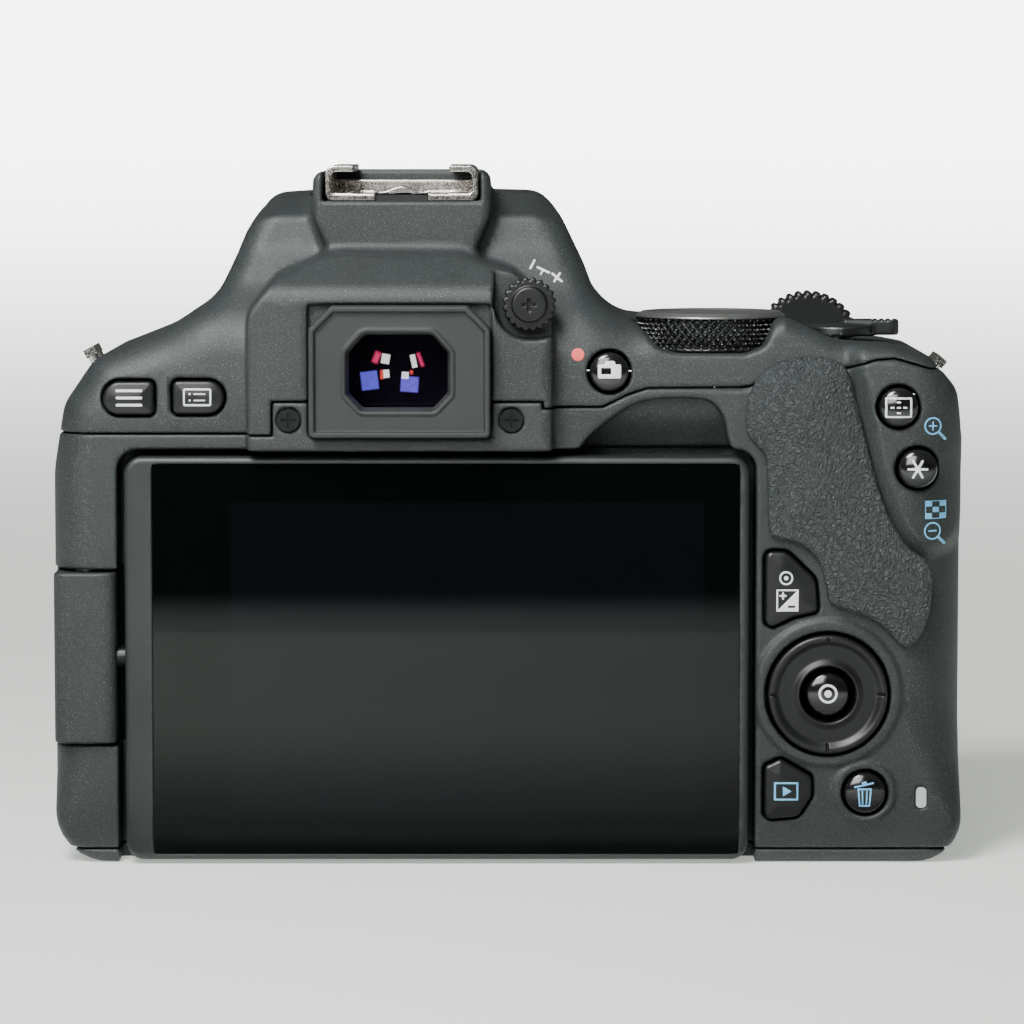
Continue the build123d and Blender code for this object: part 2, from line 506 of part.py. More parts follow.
save(screen_housing, "screen_housing")

with BuildPart() as screen_glass:
    block((GLASS[0][0], PANEL_REAR, GLASS[0][1]), (GLASS[1][0], PANEL_REAR + GLASS_THICK, GLASS[1][1]))
save(screen_glass, "screen_glass")

with BuildPart() as lcd_panel:
    block((MODULE[0][0], PANEL_REAR + GLASS_THICK, MODULE[0][1]),
          (MODULE[1][0], PANEL_REAR + GLASS_THICK + MODULE_THICK, MODULE[1][1]))
save(lcd_panel, "lcd_panel")

# ---- Viewfinder ---------------------------------------------------------------------------------------
with BuildPart() as eyepiece_frame:
    frame = [((-12.0, 57.9), 1.0), ((12.0, 57.9), 1.0), ((12.0, 72.3), 0.6),
             ((9.0, 75.3), 0.6), ((-9.0, 75.3), 0.6), ((-12.0, 72.3), 0.6)]
    prism(shape(frame), rear_plane(BLOCK_REAR + 0.9), BLOCK_REAR + 0.9 - EYE_REAR)
    chamfer(eyepiece_frame.faces().sort_by(Axis.Y)[0].edges(), 0.35)
    opening = [((-7.1, 61.4), 1.6), ((6.7, 61.4), 1.6), ((6.7, 71.8), 2.4), ((-7.1, 71.8), 2.4)]
    prism(shape(opening), rear_plane(BLOCK_REAR + 2), 8, mode=Mode.SUBTRACT)
save(eyepiece_frame, "eyepiece_frame")

with BuildPart() as eyepiece_lens:
    block((-8.8, REAR + 0.7, 60.2), (8.8, REAR + 3.2, 73.0))
save(eyepiece_lens, "eyepiece_lens")

with BuildPart() as eyepiece_screws:  # two alike
    for x in (-EYE_SCREW_X, EYE_SCREW_X):
        disc(x, EYE_SCREW_Z, 1.5, BLOCK_REAR - 0.3, BLOCK_REAR + 0.5)
        disc(x, EYE_SCREW_Z, 0.85, BLOCK_REAR + 0.5, REAR)
        for half_x, half_z in ((1.0, 0.15), (0.15, 1.0)):
            block((x - half_x, BLOCK_REAR - 1, EYE_SCREW_Z - half_z),
                  (x + half_x, BLOCK_REAR + 0.1, EYE_SCREW_Z + half_z), mode=Mode.SUBTRACT)
save(eyepiece_screws, "eyepiece_screws")

with BuildPart() as diopter_knob:
    disc(DIOPTER_X, DIOPTER_Z, 3.6, -29.4, REAR - 0.3)
    for place in PolarLocations(3.6, 18):
        x, z = DIOPTER_X + place.position.X, DIOPTER_Z + place.position.Y
        disc(x, z, 0.28, -29.2, REAR - 0.3, mode=Mode.SUBTRACT)
    disc(DIOPTER_X, DIOPTER_Z, 2.3, -30.2, -29.4)
    disc(DIOPTER_X, DIOPTER_Z, DIOPTER_SHAFT, REAR - 0.3, REAR + 4)
    for half_x, half_z in ((0.9, 0.2), (0.2, 0.9)):
        block((DIOPTER_X - half_x, -31, DIOPTER_Z - half_z), (DIOPTER_X + half_x, -29.7, DIOPTER_Z + half_z),
              mode=Mode.SUBTRACT)
save(diopter_knob, "diopter_knob")

with BuildPart() as pentamirror:
    roof = [(-1.6, 56.2), (19, 56.2), (19, 59), (13.5, 66), (11, 75),
            (-6, 75), (-11, 72.5), (-11, 65), (-1.6, 65)]
    prism(shape([(point, 0) for point in roof]), Plane.YZ.offset(-14), 28)
    chamfer(pentamirror.edges().group_by(Axis.Z)[-1].filter_by(Axis.Y), 6)
save(pentamirror, "pentamirror")

with BuildPart() as focusing_screen:
    block((-13, -1, 54.7), (13, 18.5, 55.9))
save(focusing_screen, "focusing_screen")

# ---- Keys on the back ---------------------------------------------------------------------------------
save(key_solid(MENU_KEY, -27.7), "menu_button")
save(key_solid(INFO_KEY, -27.7), "info_button")
save(key_solid(EXPOSURE_KEY, -27.7, left_limit=48.8), "exposure_button")
save(key_solid(PLAYBACK_KEY, -27.7, left_limit=48.8), "playback_button")
save(key_solid(dot(*LIVE_VIEW), -28.0, edge=0.5, lip=0.5, right_limit=MODE_X - 11.5), "live_view_button")
save(key_solid(dot(*AF_POINT), -30.4, edge=0.8, lip_rear=LIP_REAR + 0.5), "af_point_button")
save(key_solid(dot(*AE_LOCK), -30.4, edge=0.8, lip_rear=LIP_REAR + 2.6), "ae_lock_button")
save(key_solid(dot(*ERASE), -27.8, edge=0.7), "erase_button")
SET_LIP_REAR = LIP_REAR + 1.6
save(key_solid(dot(CROSS_X, CROSS_Z, SET_RADIUS), -27.9, edge=0.7, lip_rear=SET_LIP_REAR), "set_button")

with BuildPart() as cross_keys:
    disc(CROSS_X, CROSS_Z, CROSS_OUTER, -28.3, LIP_REAR + LIP_DEPTH)
    chamfer(cross_keys.faces().sort_by(Axis.Y)[0].edges(), 0.5)
    disc(CROSS_X, CROSS_Z, 6.4, -29, -27.9, mode=Mode.SUBTRACT)
    disc(CROSS_X, CROSS_Z, CROSS_OUTER + LIP, LIP_REAR + 0.4, LIP_REAR + LIP_DEPTH)
    disc(CROSS_X, CROSS_Z, CROSS_INNER, -29, LIP_REAR + LIP_DEPTH, mode=Mode.SUBTRACT)
    block((48.8, -40, -10), (100, 0, 100), mode=Mode.INTERSECT)
save(cross_keys, "cross_keys")

with BuildPart() as access_lamp:
    block((69.3, REAR + 0.2, 7.5), (70.7, REAR + WALL + 1, 10.3))
    fillet(access_lamp.edges().filter_by(Axis.Y), 0.6)
save(access_lamp, "access_lamp")

# ---- Dials and keys on the top ------------------------------------------------------------------------
with BuildPart() as mode_dial:
    post(MODE_X, MODE_Y, MODE_RADIUS, MODE_FLOOR + 0.3, MODE_TOP)
    chamfer(mode_dial.faces().sort_by(Axis.Z)[-1].edges(), 0.4)
    post(MODE_X, MODE_Y, 3.0, MODE_FLOOR - 4, MODE_FLOOR + 0.3)
save(mode_dial, "mode_dial")

with BuildPart() as main_dial:
    disc(DIAL_X, DIAL_Z, DIAL_RADIUS, DIAL_REAR, DIAL_FRONT)
    for place in PolarLocations(DIAL_RADIUS + 0.1, 26):
        x, z = DIAL_X + place.position.X, DIAL_Z + place.position.Y
        disc(x, z, 0.45, DIAL_REAR - 1, DIAL_FRONT + 1, mode=Mode.SUBTRACT)
    disc(DIAL_X, DIAL_Z, DIAL_SHAFT, DIAL_REAR - 3, DIAL_REAR)
save(main_dial, "main_dial")

with BuildPart() as power_lever:
    post(LEVER_X, LEVER_Y, LEVER_RADIUS, DECK + 0.2, DECK + 1.6)
    block((LEVER_X, LEVER_Y - 1.6, DECK + 0.2), (LEVER_X + 8.2, LEVER_Y + 1.6, DECK + 2.4))
    fillet(power_lever.edges().filter_by(Axis.Z).sort_by(Axis.X)[-2:], 1.2)
    post(LEVER_X, LEVER_Y, 2.0, DECK - 4, DECK + 0.2)
save(power_lever, "power_lever")


with BuildPart() as shutter_button:
    with BuildSketch(SHUTTER_PLANE.offset(-4)):
        Circle(SHUTTER_RADIUS)
    extrude(amount=5.2)
    chamfer(shutter_button.faces().sort_by(Axis.Z)[-1].edges(), 0.5)
save(shutter_button, "shutter_button")

for label, x in TOP_KEYS:
    with BuildPart() as top_key:
        post(x, TOP_KEY_Y, TOP_KEY_RADIUS, DECK - 3.4, DECK + 0.7)
        chamfer(top_key.faces().sort_by(Axis.Z)[-1].edges(), 0.5)
        post(x, TOP_KEY_Y, TOP_KEY_RADIUS + LIP, DECK - 3.4, DECK - WALL - 0.4)
    save(top_key, label)

# ---- Flash and hot shoe -------------------------------------------------------------------------------
with BuildPart() as flash_hollow:
    add(HUMP_HOLLOW)
    block((-16.0, 6.5, FLASH_FLOOR - 1), (16.0, 28.0, 86.5), mode=Mode.INTERSECT)

with BuildPart() as flash_head:
    add(HUMP_SOLID)
    block((-40, FLASH_REAR, FLASH_FLOOR), (40, 40, 100), mode=Mode.INTERSECT)
    block((-13.0, -10, 70), (13.0, 4.0, 100), mode=Mode.SUBTRACT)
    add(flash_hollow.part, mode=Mode.SUBTRACT)
    block((-12.0, 24, 79.9), (12.0, 34, 86.1), mode=Mode.SUBTRACT)
    for low, high in ((-13.4, -11.2), (11.2, 13.4)):
        rod(FLASH_HINGE_Y, FLASH_HINGE_Z, FLASH_PIN, low, high)
save(flash_head, "flash_head")

with BuildPart() as flash_window:
    add(HUMP_SOLID)
    block((-12.0, 25.5, 79.9), (12.0, 34, 86.1), mode=Mode.INTERSECT)
save(flash_window, "flash_window")

with BuildPart() as flash_button:
    disc(FLASH_KEY_X, FLASH_KEY_Z, FLASH_KEY_RADIUS, FRONT - WALL - 2.4, FRONT + 0.8)
    chamfer(flash_button.faces().sort_by(Axis.Y)[-1].edges(), 0.5)
    disc(FLASH_KEY_X, FLASH_KEY_Z, FLASH_KEY_RADIUS + 0.8, FRONT - WALL - 2.4, FRONT - WALL - 1.0)
save(flash_button, "flash_button")

SHOE_REAR, SHOE_FRONT = -18.4, 1.0
SHOE_HALF, SLOT_HALF, LIP_HALF = 10.4, 9.3, 6.3
SHOE_BASE = PEDESTAL_TOP + 0.8
with BuildPart() as hot_shoe_rails:
    block((-SHOE_HALF, SHOE_REAR, PEDESTAL_TOP), (SHOE_HALF, SHOE_FRONT, SHOE_TOP))
    block((-SLOT_HALF, SHOE_REAR - 1, PEDESTAL_TOP - 1), (SLOT_HALF, SHOE_FRONT - 0.8, SHOE_TOP - 0.9),
          mode=Mode.SUBTRACT)
    block((-LIP_HALF, SHOE_REAR - 1, PEDESTAL_TOP - 1), (LIP_HALF, SHOE_FRONT + 1, SHOE_TOP + 1),
          mode=Mode.SUBTRACT)
save(hot_shoe_rails, "hot_shoe_rails")

with BuildPart() as hot_shoe_base:
    block((-SLOT_HALF, SHOE_REAR + 0.4, PEDESTAL_TOP), (SLOT_HALF, SHOE_FRONT - 0.8, SHOE_BASE))
    post(0, -8.0, 1.1, SHOE_BASE, SHOE_BASE + 0.15)
    for x in (-3.0, 3.0):
        post(x, -4.4, 0.8, SHOE_BASE, SHOE_BASE + 0.15)
save(hot_shoe_base, "hot_shoe_base")

# ---- Lens mount ---------------------------------------------------------------------------------------
MOUNT_SCREW_CIRCLE, MOUNT_SCREW_ANGLES = 31.0, (45, 135, 225, 315)
with BuildPart() as lens_mount_ring:
    disc(0, AXIS_Z, RING_RADIUS, BOSS_FRONT, FLANGE)
    disc(0, AXIS_Z, 29.0, BOSS_FRONT - 3.0, BOSS_FRONT)
    disc(0, AXIS_Z, THROAT_RADIUS + 0.8, BOSS_FRONT - 4, BOSS_FRONT, mode=Mode.SUBTRACT)
    disc(0, AXIS_Z, THROAT_RADIUS, BOSS_FRONT - 1, FLANGE + 1, mode=Mode.SUBTRACT)
    disc(PIN_X, PIN_Z, PIN_RADIUS + GAP, 28, 40, mode=Mode.SUBTRACT)
    for angle in MOUNT_SCREW_ANGLES:
        x, z = MOUNT_SCREW_CIRCLE * cos(radians(angle)), AXIS_Z + MOUNT_SCREW_CIRCLE * sin(radians(angle))
        disc(x, z, 1.5, FLANGE - 0.8, FLANGE + 1, mode=Mode.SUBTRACT)
        disc(x, z, 0.8, BOSS_FRONT - 1, FLANGE, mode=Mode.SUBTRACT)
save(lens_mount_ring, "lens_mount_ring")

with BuildPart() as mount_screws:  # four alike
    for angle in MOUNT_SCREW_ANGLES:
        x, z = MOUNT_SCREW_CIRCLE * cos(radians(angle)), AXIS_Z + MOUNT_SCREW_CIRCLE * sin(radians(angle))
        disc(x, z, 1.45, FLANGE - 0.8, FLANGE - 0.05)
        disc(x, z, 0.8, BOSS_FRONT, FLANGE - 0.8)
        for half_x, half_z in ((0.9, 0.15), (0.15, 0.9)):
            block((x - half_x, FLANGE - 0.4, z - half_z), (x + half_x, FLANGE + 1, z + half_z),
                  mode=Mode.SUBTRACT)
save(mount_screws, "mount_screws")

with BuildPart() as mount_contacts:
    disc(0, AXIS_Z, THROAT_RADIUS + 0.7, 30.8, 33.2)
    disc(0, AXIS_Z, 23.4, 30, 36, mode=Mode.SUBTRACT)
    block((-11.5, 30, 0), (11.5, 36, AXIS_Z - 20), mode=Mode.INTERSECT)
    for step in range(8):
        angle = radians(270 - 21 + 6 * step)
        disc(25.2 * cos(angle), AXIS_Z + 25.2 * sin(angle), 0.7, 33.2, 33.7)
save(mount_contacts, "mount_contacts")

with BuildPart() as lens_release_button:
    disc(RELEASE_X, RELEASE_Z, RELEASE_RADIUS + LIP, 11.4, 12.6)
    block((LEFT + 3.8, 0, 0), (0, 40, 60), mode=Mode.INTERSECT)
    disc(RELEASE_X, RELEASE_Z, RELEASE_RADIUS, 11.4, 20.6)
    chamfer(lens_release_button.faces().sort_by(Axis.Y)[-1].edges(), 0.7)
save(lens_release_button, "lens_release_button")

with BuildPart() as lens_lock_pin:
    disc(PIN_X, PIN_Z, PIN_RADIUS, 25, FLANGE + 1.0)
    chamfer(lens_lock_pin.faces().sort_by(Axis.Y)[-1].edges(), 0.4)
save(lens_lock_pin, "lens_lock_pin")

# ---- Mirror box, mirrors, shutter, sensor, board and battery ------------------------------------------
MIRROR_ROD, SUB_ROD = 0.8, 0.45  # radii of the two mirrors' hinge rods
MIRROR_HALF, SUB_HALF = 0.6, 0.3  # half thicknesses
SUB_BEHIND = MIRROR_HALF + 0.7  # how far the small mirror's hinge lies behind the main mirror's middle
with BuildPart() as mirror_box:
    block((-19, -2.0, 17), (19, 30.8, 54.4))
    block((-16.6, -3.0, 19), (16.6, 32, 52.6), mode=Mode.SUBTRACT)
    block((-13.4, -1.2, 50), (13.4, 19.4, 56), mode=Mode.SUBTRACT)
    rod(MIRROR_Y, MIRROR_Z, MIRROR_ROD + FIT, -20, 20, mode=Mode.SUBTRACT)
save(mirror_box, "mirror_box")

mirror_plane = Plane(origin=(0, MIRROR_Y, MIRROR_Z), x_dir=(1, 0, 0), z_dir=(0, 1, 1))
with BuildPart() as main_mirror:  # at 45 degrees, from its hinge down to its free edge in front
    with BuildSketch(mirror_plane.offset(-MIRROR_HALF)):
        with Locations((0, MIRROR_LENGTH / 2)):
            Rectangle(29.0, MIRROR_LENGTH)
    extrude(amount=2 * MIRROR_HALF)
    rod(MIRROR_Y, MIRROR_Z, MIRROR_ROD, -18.5, 18.5)
save(main_mirror, "main_mirror")

sub_y = MIRROR_Y + (SUB_DISTANCE - SUB_BEHIND) * cos(radians(45))
sub_z = MIRROR_Z - (SUB_DISTANCE + SUB_BEHIND) * sin(radians(45))
sub_plane = Plane(origin=(0, sub_y, sub_z), x_dir=(1, 0, 0), z_dir=(0, -1, 1))
with BuildPart() as sub_mirror:  # folded out behind the main mirror, at a right angle to it
    with BuildSketch(sub_plane.offset(-SUB_HALF)):
        with Locations((0, -SUB_LENGTH / 2)):
            Rectangle(13.0, SUB_LENGTH)
    extrude(amount=2 * SUB_HALF)
    rod(sub_y, sub_z, SUB_ROD, -6.5, 6.5)
save(sub_mirror, "sub_mirror")

with BuildPart() as shutter_unit:
    block((-27, -6.6, 11.5), (27, -2.2, 63.6))
    block((-15.5, -5.8, 12.5), (15.5, -3.0, 62.8), mode=Mode.SUBTRACT)
    block((-12.0, -8, AXIS_Z - 8.0), (12.0, 0, AXIS_Z + 8.0), mode=Mode.SUBTRACT)
save(shutter_unit, "shutter_unit")

CURTAIN_HEIGHT = 16.6
GATE_BOTTOM = AXIS_Z - CURTAIN_HEIGHT / 2
CURTAINS = (("first_curtain", -3.9, GATE_BOTTOM), ("second_curtain", -5.1, GATE_BOTTOM + CURTAIN_HEIGHT))
for label, y, low in CURTAINS:
    with BuildPart() as curtain:
        block((-15.0, y - 0.2, low), (15.0, y + 0.2, low + CURTAIN_HEIGHT))
    save(curtain, label)

with BuildPart() as image_sensor:
    block((-14.5, -9.4, AXIS_Z - 11), (14.5, -8.0, AXIS_Z + 11))
    block((-17.0, -10.2, AXIS_Z - 13), (17.0, -9.4, AXIS_Z + 13))
save(image_sensor, "image_sensor")

with BuildPart() as main_board:
    block((-34, -14.0, 9), (46, -12.6, 55.0))
    block((-12, -15.6, 30), (4, -14.0, 44))
    block((14, -15.2, 18), (26, -14.0, 28))
save(main_board, "main_board")

with BuildPart() as battery:
    block((53.0, -7.0, 5.0), (67.0, 26.0, 54.4))
    fillet(battery.edges().filter_by(Axis.Z), 1.5)
save(battery, "battery")
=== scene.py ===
"""Looks of a compact digital single-lens reflex camera body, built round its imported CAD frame.

Shapes are written in millimetres as distance fields, sampled on a grid and turned into meshes in metres.
"""

import json

import bpy
import numpy as np
import openvdb
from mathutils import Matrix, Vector
from numpy import hypot, maximum, minimum


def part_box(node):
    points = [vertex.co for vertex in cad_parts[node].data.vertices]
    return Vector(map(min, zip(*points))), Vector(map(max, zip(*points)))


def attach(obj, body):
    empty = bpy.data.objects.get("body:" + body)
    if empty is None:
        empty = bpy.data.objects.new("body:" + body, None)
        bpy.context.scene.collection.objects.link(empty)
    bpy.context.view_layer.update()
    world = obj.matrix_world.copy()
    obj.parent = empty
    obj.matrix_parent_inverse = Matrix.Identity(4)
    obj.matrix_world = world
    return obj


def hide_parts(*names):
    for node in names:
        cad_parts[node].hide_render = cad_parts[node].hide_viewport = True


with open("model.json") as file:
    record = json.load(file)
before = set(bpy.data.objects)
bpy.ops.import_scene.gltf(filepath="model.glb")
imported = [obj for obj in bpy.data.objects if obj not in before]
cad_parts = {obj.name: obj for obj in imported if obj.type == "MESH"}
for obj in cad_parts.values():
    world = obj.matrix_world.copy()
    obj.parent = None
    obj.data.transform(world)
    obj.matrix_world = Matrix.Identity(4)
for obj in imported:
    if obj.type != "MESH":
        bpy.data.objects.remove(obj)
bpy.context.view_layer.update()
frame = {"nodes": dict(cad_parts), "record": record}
MM = 0.001
FAR = 500.0
COARSE = 1.0


def cad(node):
    """A CAD node's lowest and highest corners in millimetres."""
    low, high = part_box(node)
    return [v / MM for v in low], [v / MM for v in high]


# ---- Distance fields ----
def both(a, b, edge=0.0):
    """Where both fields are solid, with the edge between them rounded."""
    if isinstance(edge, (int, float)) and edge <= 0:
        return maximum(a, b)
    rounded = hypot(maximum(a + edge, 0), maximum(b + edge, 0))
    return minimum(maximum(a, b), -edge) + rounded


def either(a, b, edge=0.0):
    """Where one of the fields is solid, with the inner corner between them rounded."""
    return -both(-a, -b, edge)


def cut(a, b, edge=0.0):
    """The first field with the second taken away."""
    return both(a, -b, edge)


def ramp(value, start, end):
    """Rises smoothly from 0 at start to 1 at end."""
    t = np.clip((value - start) / (end - start), 0, 1)
    return t * t * (3 - 2 * t)


def outline(a, b, points):
    """Signed distance from a closed flat outline, negative inside."""
    points = np.asarray(points, np.float32)
    shape = np.broadcast_shapes(a.shape, b.shape)
    nearest = np.full(shape, 1e9, np.float32)
    inside = np.zeros(shape, bool)
    for (ax, ay), (bx, by) in zip(points, np.roll(points, -1, 0)):
        ex, ey = bx - ax, by - ay
        wx, wy = a - ax, b - ay
        t = np.clip((wx * ex + wy * ey) / (ex * ex + ey * ey + 1e-9), 0, 1)
        nearest = minimum(nearest, (wx - ex * t) ** 2 + (wy - ey * t) ** 2)
        crossed = ((ay <= b) & (by > b)) | ((by <= b) & (ay > b))
        inside ^= crossed & ((ex * wy - ey * wx > 0) == (by > ay))
    return np.where(inside, -1, 1).astype(np.float32) * np.sqrt(nearest)


def corners(points, steps=8):
    """A closed outline from (x, y, radius) corners, with an arc at each."""
    result = []
    count = len(points)
    for i in range(count):
        here = np.array(points[i][:2], float)
        before, after = np.array(points[i - 1][:2], float), np.array(points[(i + 1) % count][:2], float)
        radius = points[i][2] if len(points[i]) > 2 else 0
        u, v = before - here, after - here
        u, v = u / np.linalg.norm(u), v / np.linalg.norm(v)
        half = np.arccos(np.clip(u @ v, -1, 1)) / 2
        if radius <= 0 or half > 1.56:
            result.append(here)
            continue
        reach = radius / np.tan(half)
        middle = here + (u + v) / np.linalg.norm(u + v) * radius / np.sin(half)
        start, end = here + u * reach - middle, here + v * reach - middle
        for k in range(steps + 1):
            spoke = start * (1 - k / steps) + end * k / steps
            result.append(middle + spoke / np.linalg.norm(spoke) * radius)
    return result


def flowing(points, steps=5):
    """A closed outline that passes smoothly through the points."""
    points = np.asarray(points, float)
    before, after, later = np.roll(points, 1, 0), np.roll(points, -1, 0), np.roll(points, -2, 0)
    result = []
    for p0, p1, p2, p3 in zip(before, points, after, later):
        for k in range(steps):
            t = k / steps
            result.append(0.5 * (2 * p1 + (p2 - p0) * t + (2 * p0 - 5 * p1 + 4 * p2 - p3) * t * t
                                 + (3 * p1 - p0 - 3 * p2 + p3) * t ** 3))
    return result


def rear_view(g, points):
    """An outline seen along Y, with arcs at its corners."""
    return outline(g.x, g.z, corners(points))


def side_view(g, points):
    """An outline seen along X, with arcs at its corners."""
    return outline(g.y, g.z, corners(points))


def plan_view(g, points):
    """An outline seen along Z, with arcs at its corners."""
    return outline(g.x, g.y, corners(points))


def rectangle(low_x, low_z, high_x, high_z, radius):
    """Four corners with the same radius."""
    return [(low_x, low_z, radius), (high_x, low_z, radius), (high_x, high_z, radius),
            (low_x, high_z, radius)]


def slab(value, low, high):
    """Distance from the space between two parallel planes."""
    return maximum(low - value, value - high)


def box(g, low, high, edge=0.0):
    """A box with rounded edges."""
    middle = [(a + b) / 2 for a, b in zip(low, high)]
    half = [(b - a) / 2 - edge for a, b in zip(low, high)]
    q = [np.abs(v - m) - h for v, m, h in zip((g.x, g.y, g.z), middle, half)]
    outside = np.sqrt(maximum(q[0], 0) ** 2 + maximum(q[1], 0) ** 2 + maximum(q[2], 0) ** 2)
    return outside + minimum(maximum(maximum(q[0], q[1]), q[2]), 0) - edge


def disc(g, x, z, radius, low, high, edge=0.0):
    """A round bar along Y."""
    return both(hypot(g.x - x, g.z - z) - radius, slab(g.y, low, high), edge)


def post(g, x, y, radius, low, high, edge=0.0):
    """A round bar along Z."""
    return both(hypot(g.x - x, g.y - y) - radius, slab(g.z, low, high), edge)


class Grid:
    """Sample points, evenly spaced between two corners."""

    def __init__(self, low, high, pitch):
        self.low = np.array(low, np.float32)
        self.pitch = pitch
        counts = [int(np.ceil((b - a) / pitch)) + 1 for a, b in zip(low, high)]
        step = np.float32(pitch)
        x, y, z = (np.float32(a) + step * np.arange(n, dtype=np.float32) for a, n in zip(low, counts))
        self.x, self.y, self.z = x[:, None, None], y[None, :, None], z[None, None, :]
        self.shape = tuple(counts)

    def window(self, low, high):
        """The part of the grid between two corners, and the slices that take it out of an array."""
        part = object.__new__(Grid)
        begin = [max(0, int((a - o) / self.pitch)) for a, o in zip(low, self.low)]
        end = [min(n, int((b - o) / self.pitch) + 2) for b, o, n in zip(high, self.low, self.shape)]
        part.pitch = self.pitch
        part.low = self.low + np.array(begin, np.float32) * self.pitch
        part.x = self.x[begin[0]:end[0]]
        part.y = self.y[:, begin[1]:end[1]]
        part.z = self.z[:, :, begin[2]:end[2]]
        part.shape = tuple(e - b for b, e in zip(begin, end))
        return part, tuple(slice(b, e) for b, e in zip(begin, end))


def sampled(field, places):
    """The field's value at places given in grid steps."""
    base = np.clip(np.floor(places).astype(int), 0, np.array(field.shape) - 2)
    part = places - base
    total = np.zeros(len(places), np.float32)
    for i in (0, 1):
        for j in (0, 1):
            for k in (0, 1):
                share = [np.abs(1 - step - part[:, axis]) for axis, step in enumerate((i, j, k))]
                total += share[0] * share[1] * share[2] * field[base[:, 0] + i, base[:, 1] + j,
                               base[:, 2] + k]
    return total


def solid(name, g, field, body, slot, replaces=(), detail=0.0, finish=None):
    """Turns a distance field into a mesh piece with smooth normals, in the frame, riding a body."""
    field = np.broadcast_to(np.asarray(field, np.float32), g.shape)
    limit = 3 * g.pitch
    field = np.clip(field, -limit, limit)
    for axis in range(3):
        edge = [slice(None)] * 3
        for end in (0, -1):
            edge[axis] = end
            field[tuple(edge)] = limit
    volume = openvdb.FloatGrid(limit)
    volume.copyFromArray(np.ascontiguousarray(field))
    points, triangles, quads = volume.convertToPolygons(isovalue=0.0, adaptivity=detail)
    places = np.asarray(points, np.float32)
    normals = np.zeros_like(places)
    for axis in range(3):
        step = np.zeros(3, np.float32)
        step[axis] = 0.6
        normals[:, axis] = sampled(field, places + step) - sampled(field, places - step)
    normals /= maximum(np.linalg.norm(normals, axis=1, keepdims=True), 1e-9)
    triangles = np.asarray(triangles, np.int32).reshape(-1, 3)
    quads = np.asarray(quads, np.int32).reshape(-1, 4)
    loops = np.concatenate([triangles.ravel(), quads.ravel()])
    totals = np.concatenate([np.full(len(triangles), 3, np.int32), np.full(len(quads), 4, np.int32)])
    mesh = bpy.data.meshes.new(name)
    mesh.vertices.add(len(places))
    mesh.vertices.foreach_set("co", ((places * g.pitch + g.low) * MM).astype(np.float32).ravel())
    mesh.loops.add(len(loops))
    mesh.loops.foreach_set("vertex_index", loops)
    mesh.polygons.add(len(totals))
    mesh.polygons.foreach_set("loop_start", np.concatenate([[0], np.cumsum(totals)[:-1]]).astype(np.int32))
    mesh.polygons.foreach_set("loop_total", totals)
    mesh.update(calc_edges=True)
    mesh.polygons.foreach_set("use_smooth", np.ones(len(totals), bool))
    mesh.normals_split_custom_set_from_vertices(normals)
    piece = bpy.data.objects.new(name, mesh)
    bpy.context.scene.collection.objects.link(piece)
    mesh.materials.append(finish or FINISH[slot])
    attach(piece, body)
    if replaces:
        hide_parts(*replaces)


def carve(name, low, high, pitch, make, body, slot, replaces=(), detail=0.0, finish=None):
    """Samples a field between two corners and turns it into a piece."""
    g = Grid(low, high, pitch * COARSE)
    solid(name, g, make(g), body, slot, replaces, detail, finish)


# ---- Outer form of the body ----
LEFT, RIGHT, REAR, FRONT = -46.8, 75.6, -27.0, 17.0
WALL = 2.0
SPLIT = -15.0  # where the rear cover meets the front cover
BASE_TOP = 2.0
MOUNT_Z, BOSS_RADIUS = 37.5, 35.2
SHOE_FLOOR = 88.9
SHOE_ROOM = (-10.7, -40, SHOE_FLOOR), (10.7, 1.5, 99), 0.2
GRIP_SLOPE, SLOPE_COS, SLOPE_SIN = 0.3346, 0.948, 0.3173  # fall of the grip's top towards the front
MODE_X, MODE_Y, MODE_RADIUS = 42.0, -13.4, 10.2
RING_X, RING_Z = 57.3, 23.0
WHEEL_X, WHEEL_Z = 57.0, 68.2
KNOB_X, KNOB_Z = 17.2, 75.4
LEVER_X, LEVER_Y = 59.8, -9.0
SHUTTER_X, SHUTTER_Z = 57.5, 70.2
UPRIGHT_X, UPRIGHT_Y = -42.3, -24.0  # the screen's upright hinge
LEVEL_Y, LEVEL_Z = -25.0, 27.8  # the screen's level hinge
FLASH_REAR, FLASH_FLOOR, FLASH_HINGE_Y, FLASH_HINGE_Z, FLASH_OPEN = -4.4, 78.4, -3.0, 87.5, 70
FRONT_COVER = [
    (LEFT, 0, 7.2), (RIGHT, 0, 6.2), (RIGHT, 56.5, 14), (74.7, 63.8, 5), (70.6, 68.6, 4), (66.0, 69.8, 5),
    (58.6, 70.2, 5), (54.0, 72.4, 3), (51.6, 73.8, 0.9), (49.6, 73.2, 0.6), (48.6, 72.7, 0.4),
    (28.0, 72.7, 0), (0, 74.0, 0), (-27.0, 73.2, 6), (-33.0, 71.2, 9), (-41.2, 68.0, 5.5), (-45.4, 61.8, 6),
    (LEFT, 53.0, 16),
]
PLAN = [(-70, -60, 0), (100, -60, 0), (100, 34, 0), (47.8, 34, 9), (42.6, FRONT, 4.5), (-70, FRONT, 0)]
HUMP = [
    (-31, 60, 0), (-28.2, 71.4, 2), (-25.4, 75.2, 8), (-22.6, 81.4, 14), (-20.7, 86.0, 8),
    (-18.4, 90.2, 3.4), (-10, 91.2, 12), (10, 91.2, 12), (18.6, 90.8, 3.4), (22.0, 86.0, 8),
    (24.6, 80.6, 14), (26.6, 75.2, 6), (31, 60, 0),
]
